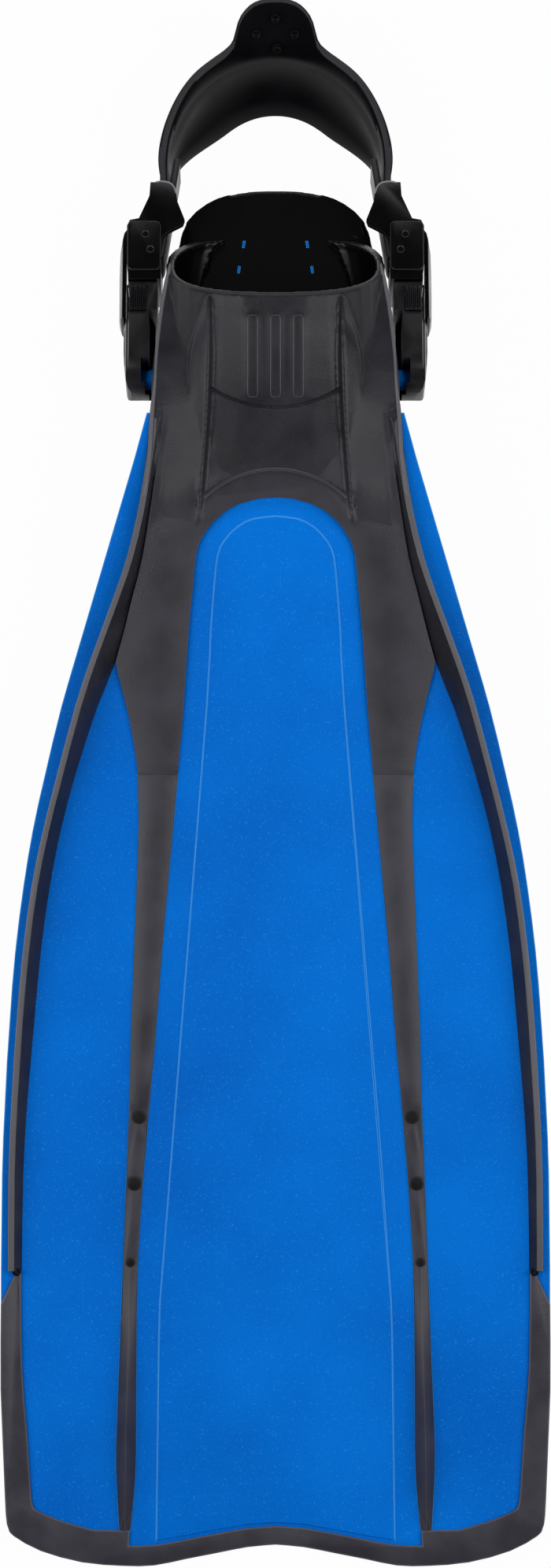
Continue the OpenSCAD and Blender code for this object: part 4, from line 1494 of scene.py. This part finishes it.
@dataclass
class HeelStrap:
    """The rubber strap: two tails round the rollers, the heel pad and the pull tab."""

    shop: Workshop
    roller: Pair = (51.0, 52.0)
    wrap_r: float = 4.6
    tail: Pair = (40.3, 92.0)
    main: Pair = (45.3, 80.0)
    loop_u: float = 88.0
    loop_r: float = 45.3
    strap_w: float = 23.0
    strap_t: float = 4.0
    tail_t: float = 2.6
    pad_w: float = 42.0
    flare: float = 5.8
    tab_len: float = 18.6
    loop_taper: float = 0.12
    tab_lean: float = math.radians(49)
    lip_v: float = -0.47
    panel_v: float = 0.57
    sink: float = 0.8
    rim: float = 0.9
    taper_deg: Pair = (0.0, 60.0)
    thick_deg: Pair = (-10.0, 10.0)
    width_deg: Pair = (-4.0, 50.0)
    flare_deg: Pair = (-8.0, 52.0)
    pad_deg: Pair = (-4.0, 30.0)
    loop_start: int = -4
    loop_step: int = 2
    tab_blend: Pair = (0.5, 5.0)
    crown_up: float = 0.75
    crown_share: float = 0.45
    wrap_steps: int = 16
    main_gain: float = 0.2
    panel_edge: float = 0.03
    shoulder: float = 0.9
    cap_steps: int = 8
    rim_light: float = 0.6
    nub_light: float = 0.25
    nubs: tuple[Pair, ...] = ((0.0, 12.2), (-7.8, 5.6), (7.8, 5.6), (0.6, -0.6))
    nub_radii: Pair = (2.3, 1.656)
    nub_height: float = 1.4
    nub_stand: float = 0.4
    nub_dish: Pair = (0.69, 0.7)
    tab_shares: tuple[Pair, ...] = (
        (0, 1), (5.4, 0.95), (9, 0.77), (11.2, 0.56), (13.2, 0.29), (15.2, 0.14), (19, 0.05),
        (30, 0.03),
    )

    def build(self) -> None:
        """Make the strap and the nubs on its tab."""
        stations = self._stations()
        bm = loft([self._section(stations, i) for i in range(len(stations))])
        self._nubs(bm)
        carry(bm, self.shop.setting.strap.matrix)
        self.shop.soften(bm, self.rim, 50, 4)
        self._light_rim(bm)
        self.shop.finish(bm, "heel_strap_band", STRAP_RUBBER, ["heel_strap"], sharp=50)

    def _tangent(self, x: float, u: float, sign: int) -> float:
        """Angle on the roller at which a straight run leaves it.

        Args:
            x: the run's far end across.
            u: the run's far end along.
            sign: which of the two tangents.

        Returns:
            The angle.
        """
        dx, du = x - self.roller[0], u - self.roller[1]
        return math.atan2(du, dx) + sign * math.acos(self.wrap_r / math.hypot(dx, du))

    def _tab_share(self, x: float) -> float:
        """Share of the tab's length at a place across it, as a smooth curve.

        Args:
            x: the place across.

        Returns:
            The share.
        """
        spots = self.tab_shares
        last = len(spots) - 1

        def slope(i: int) -> float:
            """Slope of the curve at one of its points."""
            if i in (0, last):
                return 0.0
            (x0, y0), (x1, y1) = spots[i - 1], spots[i + 1]
            return (y1 - y0) / (x1 - x0)

        for i in range(last):
            (x0, y0), (x1, y1) = spots[i], spots[i + 1]
            if abs(x) <= x1:
                span = x1 - x0
                t = (abs(x) - x0) / span
                ease = t * t * (3 - 2 * t)
                lean = slope(i) * t * (1 - t) ** 2 - slope(i + 1) * t * t * (1 - t)
                return y0 + (y1 - y0) * ease + span * lean
        return spots[-1][1]

    def _stations(self) -> list[Station]:
        """Places along the strap, from the left tail's end to the right one's.

        Returns:
            The stations.
        """
        half_t, half_w = self.tail_t / 2, self.strap_w / 2
        inside = self._tangent(*self.tail, 1)
        outside = self._tangent(*self.main, -1)
        if outside < inside:
            outside += 2 * math.pi
        rx, ru = self.roller
        half = [Station(*self.tail, half_t, half_w)]
        for k in range(self.wrap_steps + 1):
            a = inside + (outside - inside) * k / self.wrap_steps
            half.append(
                Station(
                    rx + self.wrap_r * math.cos(a), ru + self.wrap_r * math.sin(a), half_t, half_w
                )
            )
        half.append(Station(*self.main, half_t + self.main_gain, half_w))
        for deg in range(self.loop_start, 90, self.loop_step):
            half.append(self._loop_station(deg))
        rear = self._loop_station(90)
        mirrored = [
            Station(-p.x, p.u, p.half_t, p.half_w, p.lean, p.tab, p.pad) for p in reversed(half)
        ]
        return half + [rear] + mirrored

    def _loop_station(self, deg: float) -> Station:
        """Place on the round part of the strap.

        Args:
            deg: degrees from the straight run, 90 at the rear.

        Returns:
            The station.
        """
        a = math.radians(deg)
        x = self.loop_r * math.cos(a) * (1 - self.loop_taper * smoothstep(*self.taper_deg, deg))
        thick = smoothstep(*self.thick_deg, deg)
        return Station(
            x,
            self.loop_u + self.loop_r * math.sin(a),
            (self.tail_t + (self.strap_t - self.tail_t) * thick) / 2,
            (self.strap_w + (self.pad_w - self.strap_w) * smoothstep(*self.width_deg, deg)) / 2,
            self.flare * smoothstep(*self.flare_deg, deg),
            self.tab_len * self._tab_share(x),
            smoothstep(*self.pad_deg, deg),
        )

    def _section(self, stations: list[Station], i: int) -> list[Vector]:
        """Corners of the section at a station, in the strap's frame.

        Args:
            stations: all of the stations.
            i: number of the station.

        Returns:
            The corners, from the inner lower edge round over the tab.
        """
        here = stations[i]
        last, after = stations[max(0, i - 1)], stations[min(len(stations) - 1, i + 1)]
        along = Vector((after.x - last.x, after.u - last.u)).normalized()
        normal = Vector((along.y, -along.x))
        t, w, lean = here.half_t, here.half_w, here.lean
        tab_n, tab_v = math.sin(self.tab_lean) * here.tab, math.cos(self.tab_lean) * here.tab
        sunk = self.sink * here.pad
        corners: list[Pair] = [(-t - lean, -w)]
        lip, panel, edge = self.lip_v, self.panel_v, self.panel_edge
        for share, depth in (
            (lip - edge, 0), (lip + edge, sunk), (panel - edge, sunk), (panel + edge, 0),
        ):
            corners.append((-t + lean * share + depth, w * share))
        steep = math.atan2(lean, w)
        steep += (self.tab_lean - steep) * smoothstep(*self.tab_blend, here.tab)
        out = Vector((math.sin(steep), math.cos(steep)))
        across = Vector((out.y, -out.x))
        half = t * out.y
        corners.append((-t + lean * self.shoulder, w * self.shoulder))
        middle = Vector((lean + tab_n, w + tab_v)) - out * half
        for k in range(self.cap_steps + 1):
            a = math.pi * k / self.cap_steps
            corners.append(tuple(middle - across * half * math.cos(a) + out * half * math.sin(a)))
        corners.append((t + lean * self.shoulder, w * self.shoulder))
        corners += [(t, 0), (t - lean, -w)]
        return [
            Vector((here.x + normal.x * n, here.u + normal.y * n, v)) for n, v in corners
        ]

    def _light_rim(self, bm: bmesh.types.BMesh) -> None:
        """Paint a highlight on the crown of the upper rim, and keep the painted edge highlight on
        the nubs faint.

        Args:
            bm: the strap, in place.
        """
        bm.normal_update()
        layer, tag = bm.faces.layers.float["edge"], bm.faces.layers.float["nub"]
        place = self.shop.setting.strap
        turn = place.inverse.to_3x3()
        for face in bm.faces:
            spot = place.inverse @ face.calc_center_median()
            up = (turn @ face.normal).normalized().z
            if face[tag]:
                face[layer] = min(face[layer], self.nub_light)
            elif up > self.crown_up and spot.z > self.strap_w * self.crown_share:
                face[layer] = max(face[layer], self.rim_light)

    def _nubs(self, bm: bmesh.types.BMesh) -> None:
        """Round nubs with a dimple on the tab's inner face.

        Args:
            bm: the strap, in its own frame.
        """
        foot_u = self.loop_u + self.loop_r - self.strap_t / 2 + self.flare
        foot_v = self.pad_w / 2
        tag = bm.faces.layers.float.new("nub")
        for x, up in self.nubs:
            lean = self.tab_lean if up > 0 else math.atan2(self.flare, foot_v)
            out, rise = self.nub_stand * math.cos(lean), self.nub_stand * math.sin(lean)
            u, v = foot_u + up * math.sin(lean) - out, foot_v + up * math.cos(lean) + rise
            spot = Vector((x, u, v))
            turn = Matrix.Rotation(math.pi / 2 - lean, 4, "X")
            place = Matrix.Translation(spot) @ turn
            for face in dished_boss(bm, place, self.nub_radii, self.nub_height, self.nub_dish):
                face[tag] = 1.0


@dataclass
class Buckle:
    """One quick-release buckle with its post, clip, buttons and lever."""

    shop: Workshop
    side: Side
    inner_x: float = 51.0
    moulded: tuple[tuple[str, float, Moulding], ...] = (
        ("base_cover", 0.5, SATIN_BLACK),
        ("clip", 0.7, BUCKLE_BLACK),
        ("lever", 0.8, LEVER_BLACK),
        ("top_button", 0.3, BUCKLE_BLACK),
        ("bottom_button", 0.3, BUCKLE_BLACK),
    )
    body_round: float = 0.9
    post_round: float = 0.3
    window_x: Pair = (-2.0, 3.2)
    window_u: Pair = (-4.5, 4.3)
    window_v: Pair = (0.0, 24.0)
    metal: tuple[str, ...] = ("roller", "post_clip")
    spring_v: Pair = (5.9, 11.1)
    spring_keep: float = 0.22
    pins: tuple[str, ...] = ("lever_pin", "roller_pin")
    cheek_top: float = 15.3
    block_rise: float = 1.1
    block_root: float = 0.8
    block_x: Pair = (-4.6, 8.9)
    block_u: Pair = (41.2, 62.6)
    block_corner: float = 2.2
    block_round: float = 0.45
    dimples: tuple[Pair, ...] = ((1.6, 56.8), (-0.4, 50.2))
    dimple_radii: Pair = (1.725, 1.5)
    dimple_height: float = 0.7
    dimple_dish: Pair = (0.4, 0.3)
    lip_r: float = 0.42
    lip_sink: float = 0.1
    lip_middle: Pair = (-5.5, 72.0)
    lip: tuple[Pair, ...] = (
        (-1.8, 79.7), (-3.6, 80.4), (-7.6, 80.2), (-9.8, 78.4), (-10.7, 74.6),
    )

    def build(self) -> None:
        """Make all of its pieces."""
        for name, width, finish in self.moulded:
            self.shop.dress(self.side.node(name), finish, width)
        self._body()
        for name in self.metal:
            self.shop.paint(self.side.node(name), STEEL)
        for name in self.pins:
            self.shop.paint(self.side.node(name), DARK_STEEL)
        self.shop.dress(self.side.node("post"), BRIGHTENED_POST_BLUE, self.post_round)
        self._springs()
        self._block()
        self._lip()

    def _body(self) -> None:
        """The body, open at its inner side so that the post shows from above."""
        shop = self.shop
        node = self.side.node("base")
        bm = shop.solid(node)
        shop.soften(bm, self.body_round)
        cutter = self._box(self.window_x, self.window_u, self.window_v)
        carry(cutter, shop.setting.strap.matrix)
        shop.finish(carved(bm, cutter), node + "_moulded", SATIN_BLACK, [node])

    def _spot(self, x: float, u: float, v: float) -> Vector:
        """Place in the strap's frame of a place on this buckle."""
        return Vector((self.side.value * (self.inner_x + x), u, v))

    def _box(self, *ends: Pair) -> bmesh.types.BMesh:
        """Box on this buckle, in the strap's frame.

        Args:
            ends: its ends across, along and up.

        Returns:
            The box.
        """
        bm = bmesh.new()
        middle = self._spot(*((low + high) / 2 for low, high in ends))
        size = Matrix.Diagonal((*(high - low for low, high in ends), 1))
        bmesh.ops.create_cube(bm, size=1, matrix=Matrix.Translation(middle) @ size)
        return bm

    def _block(self) -> None:
        """Raised block on the upper cheek, with two dimples over the pins."""
        shop = self.shop
        top = self.cheek_top + self.block_rise
        bm = self._box(self.block_x, self.block_u, (self.cheek_top - self.block_root, top))
        upright = [e for e in bm.edges if abs(e.verts[0].co.z - e.verts[1].co.z) > 0.5]
        bmesh.ops.bevel(
            bm,
            geom=upright,
            offset=self.block_corner,
            offset_type="OFFSET",
            segments=6,
            profile=0.5,
            affect="EDGES",
            material=-1,
        )
        for x, u in self.dimples:
            spot = Matrix.Translation(self._spot(x, u, top))
            dished_boss(bm, spot, self.dimple_radii, self.dimple_height, self.dimple_dish)
        carry(bm, shop.setting.strap.matrix)
        shop.soften(bm, self.block_round, 50)
        shop.finish(bm, self.side.node("cheek_block"), BUCKLE_BLACK, [], body="strap")

    def _springs(self) -> None:
        """Both latch springs, each halved in the middle into a pad end and a bar end."""
        node, strap = self.side.node("latch_springs"), self.shop.setting.strap
        middle = sum(self.spring_v) / 2
        stands_for = [node]
        for name, way in (("upper", 1), ("lower", -1)):
            for end, out in (("pad", 1), ("bar", -1)):
                bm = self.shop.solid(node, flatten=False)
                carry(bm, strap.inverse)
                other = [v for v in bm.verts if v.co.z * way < 0]
                bmesh.ops.delete(bm, geom=other, context="VERTS")
                bmesh.ops.bisect_plane(
                    bm,
                    geom=bm.verts[:] + bm.edges[:] + bm.faces[:],
                    plane_co=(0, 0, way * middle),
                    plane_no=(0, 0, way * out),
                    clear_inner=True,
                )
                bmesh.ops.holes_fill(bm, edges=[e for e in bm.edges if e.is_boundary])
                carry(bm, strap.matrix)
                label = self.side.node(f"{name}_spring_{end}")
                piece = self.shop.finish(bm, label, STEEL, stands_for, body="strap", sharp=70)
                stands_for = []
                self.side.node("top_press" if way == out else "bottom_press")
                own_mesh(piece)

    def _lip(self) -> None:
        """Thin lip round the end of the upper cheek, painted light all over as a highlight."""
        shop = self.shop
        sections = []
        for x, u in self.lip:
            spot = self._spot(x, u, self.cheek_top - self.lip_sink)
            out = (Vector((x, u)) - Vector(self.lip_middle)).normalized() * self.lip_r
            out.x *= self.side.value
            sections.append(
                [spot + Vector((out.x * c, out.y * c, self.lip_r * s)) for c, s in ring(10)]
            )
        bm = loft(sections)
        # The whole lip is marked for the painted highlight.
        layer = bm.faces.layers.float.new("edge")
        for face in bm.faces:
            face[layer] = 1.0
        carry(bm, shop.setting.strap.matrix)
        name = self.side.node("cheek_lip")
        subdivide(shop.finish(bm, name, HIGHLIGHT_BLACK, [], body="strap", sharp=70))


# Stage


@dataclass
class Studio:
    """Floor, light and camera of the product photograph."""

    setting: Setting
    look_y: float = -163.4
    camera_height: float = 1900.0
    lens: float = 109.0
    floor_size: float = 12.0
    floor_colour: Colour = (0.86, 0.86, 0.86)
    sky: float = 0.08
    whitening: float = 0.97

    def build(self) -> None:
        """Set the stage."""
        scene = bpy.context.scene
        scene.view_settings.view_transform = "Standard"
        self._camera(scene)
        self._floor()
        self._world(scene)
        for side in Side:
            place = (side.value * 0.95, -0.1, 1.05)
            self._lamp(side.node("softbox"), place, (0, 0, 0.03), (0.5, 1.5), 10.0)
        self._lamp("front_softbox", (0.0, -1.55, 0.7), (0, -0.1, 0.03), (1.1, 0.4), 1.4)
        self._lamp("back_softbox", (0.0, 1.45, 0.8), (0, 0.1, 0.03), (1.1, 0.4), 6.0)

    def _camera(self, scene: bpy.types.Scene) -> None:
        """Camera square to the blade, as the photograph was taken.

        Args:
            scene: the scene.
        """
        data = bpy.data.cameras.new("camera")
        data.lens = self.lens
        data.sensor_width = 36.0
        camera = bpy.data.objects.new("camera", data)
        scene.collection.objects.link(camera)
        place = self.setting.blade
        camera.location = place.matrix @ Vector((0, self.look_y, self.camera_height))
        camera.rotation_euler = (place.turn, 0, 0)
        scene.camera = camera

    def _floor(self) -> None:
        """Pale floor that keeps the shadow."""
        bm = bmesh.new()
        bmesh.ops.create_grid(bm, x_segments=1, y_segments=1, size=self.floor_size / 2)
        floor = linked(bm, "floor")
        material = bpy.data.materials.new("pale_floor")
        material.use_nodes = True
        bench = NodeBench(material.node_tree)
        paint = bench.add("ShaderNodeBsdfDiffuse", {"Color": (*self.floor_colour, 1)})
        glow = bench.add("ShaderNodeEmission", {"Color": (1, 1, 1, 1), "Strength": 1.0})
        path = bench.add("ShaderNodeLightPath")
        seen = bench.add(
            "ShaderNodeMath",
            {0: path.outputs["Is Camera Ray"], 1: path.outputs["Is Glossy Ray"]},
            operation="MAXIMUM",
        )
        share = bench.add(
            "ShaderNodeMath", {0: seen.outputs[0], 1: self.whitening}, operation="MULTIPLY"
        )
        blend = bench.add(
            "ShaderNodeMixShader",
            {0: share.outputs[0], 1: paint.outputs[0], 2: glow.outputs[0]},
        )
        bench.add("ShaderNodeOutputMaterial", {"Surface": blend.outputs[0]})
        floor.data.materials.append(material)

    def _world(self, scene: bpy.types.Scene) -> None:
        """Even pale light from all round, white where the camera sees it.

        Args:
            scene: the scene.
        """
        world = bpy.data.worlds.new("studio")
        world.use_nodes = True
        scene.world = world
        bench = NodeBench(world.node_tree)
        path = bench.add("ShaderNodeLightPath")
        light = bench.add("ShaderNodeBackground", {"Color": (1, 1, 1, 1), "Strength": self.sky})
        white = bench.add("ShaderNodeBackground", {"Color": (1, 1, 1, 1), "Strength": 1.0})
        blend = bench.add(
            "ShaderNodeMixShader",
            {0: path.outputs["Is Camera Ray"], 1: light.outputs[0], 2: white.outputs[0]},
        )
        bench.add("ShaderNodeOutputWorld", {"Surface": blend.outputs[0]})

    def _lamp(
        self,
        name: str,
        spot: Sequence[float],
        aim: Sequence[float],
        size: Pair,
        power: float,
    ) -> None:
        """One soft lamp.

        Args:
            name: its name.
            spot: where it stands, in metres.
            aim: what it points at, in metres.
            size: its width and length in metres.
            power: its power in watts.
        """
        data = bpy.data.lights.new(name, "AREA")
        data.shape = "RECTANGLE"
        data.size, data.size_y = size
        data.energy = power
        lamp = bpy.data.objects.new(name, data)
        bpy.context.scene.collection.objects.link(lamp)
        lamp.location = spot
        lamp.rotation_euler = (Vector(aim) - Vector(spot)).to_track_quat("-Z", "Y").to_euler()


def main() -> None:
    """Build the fin and its stage."""
    logging.basicConfig(level=logging.INFO, format="%(name)s: %(message)s")
    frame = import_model()
    shop = Workshop(frame)
    Studio(shop.setting).build()
    BladeSet(shop).build()
    FootPocket(shop).build()
    HeelStrap(shop).build()
    for side in Side:
        Buckle(shop, side).build()
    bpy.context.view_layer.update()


if __name__ == "__main__":
    main()
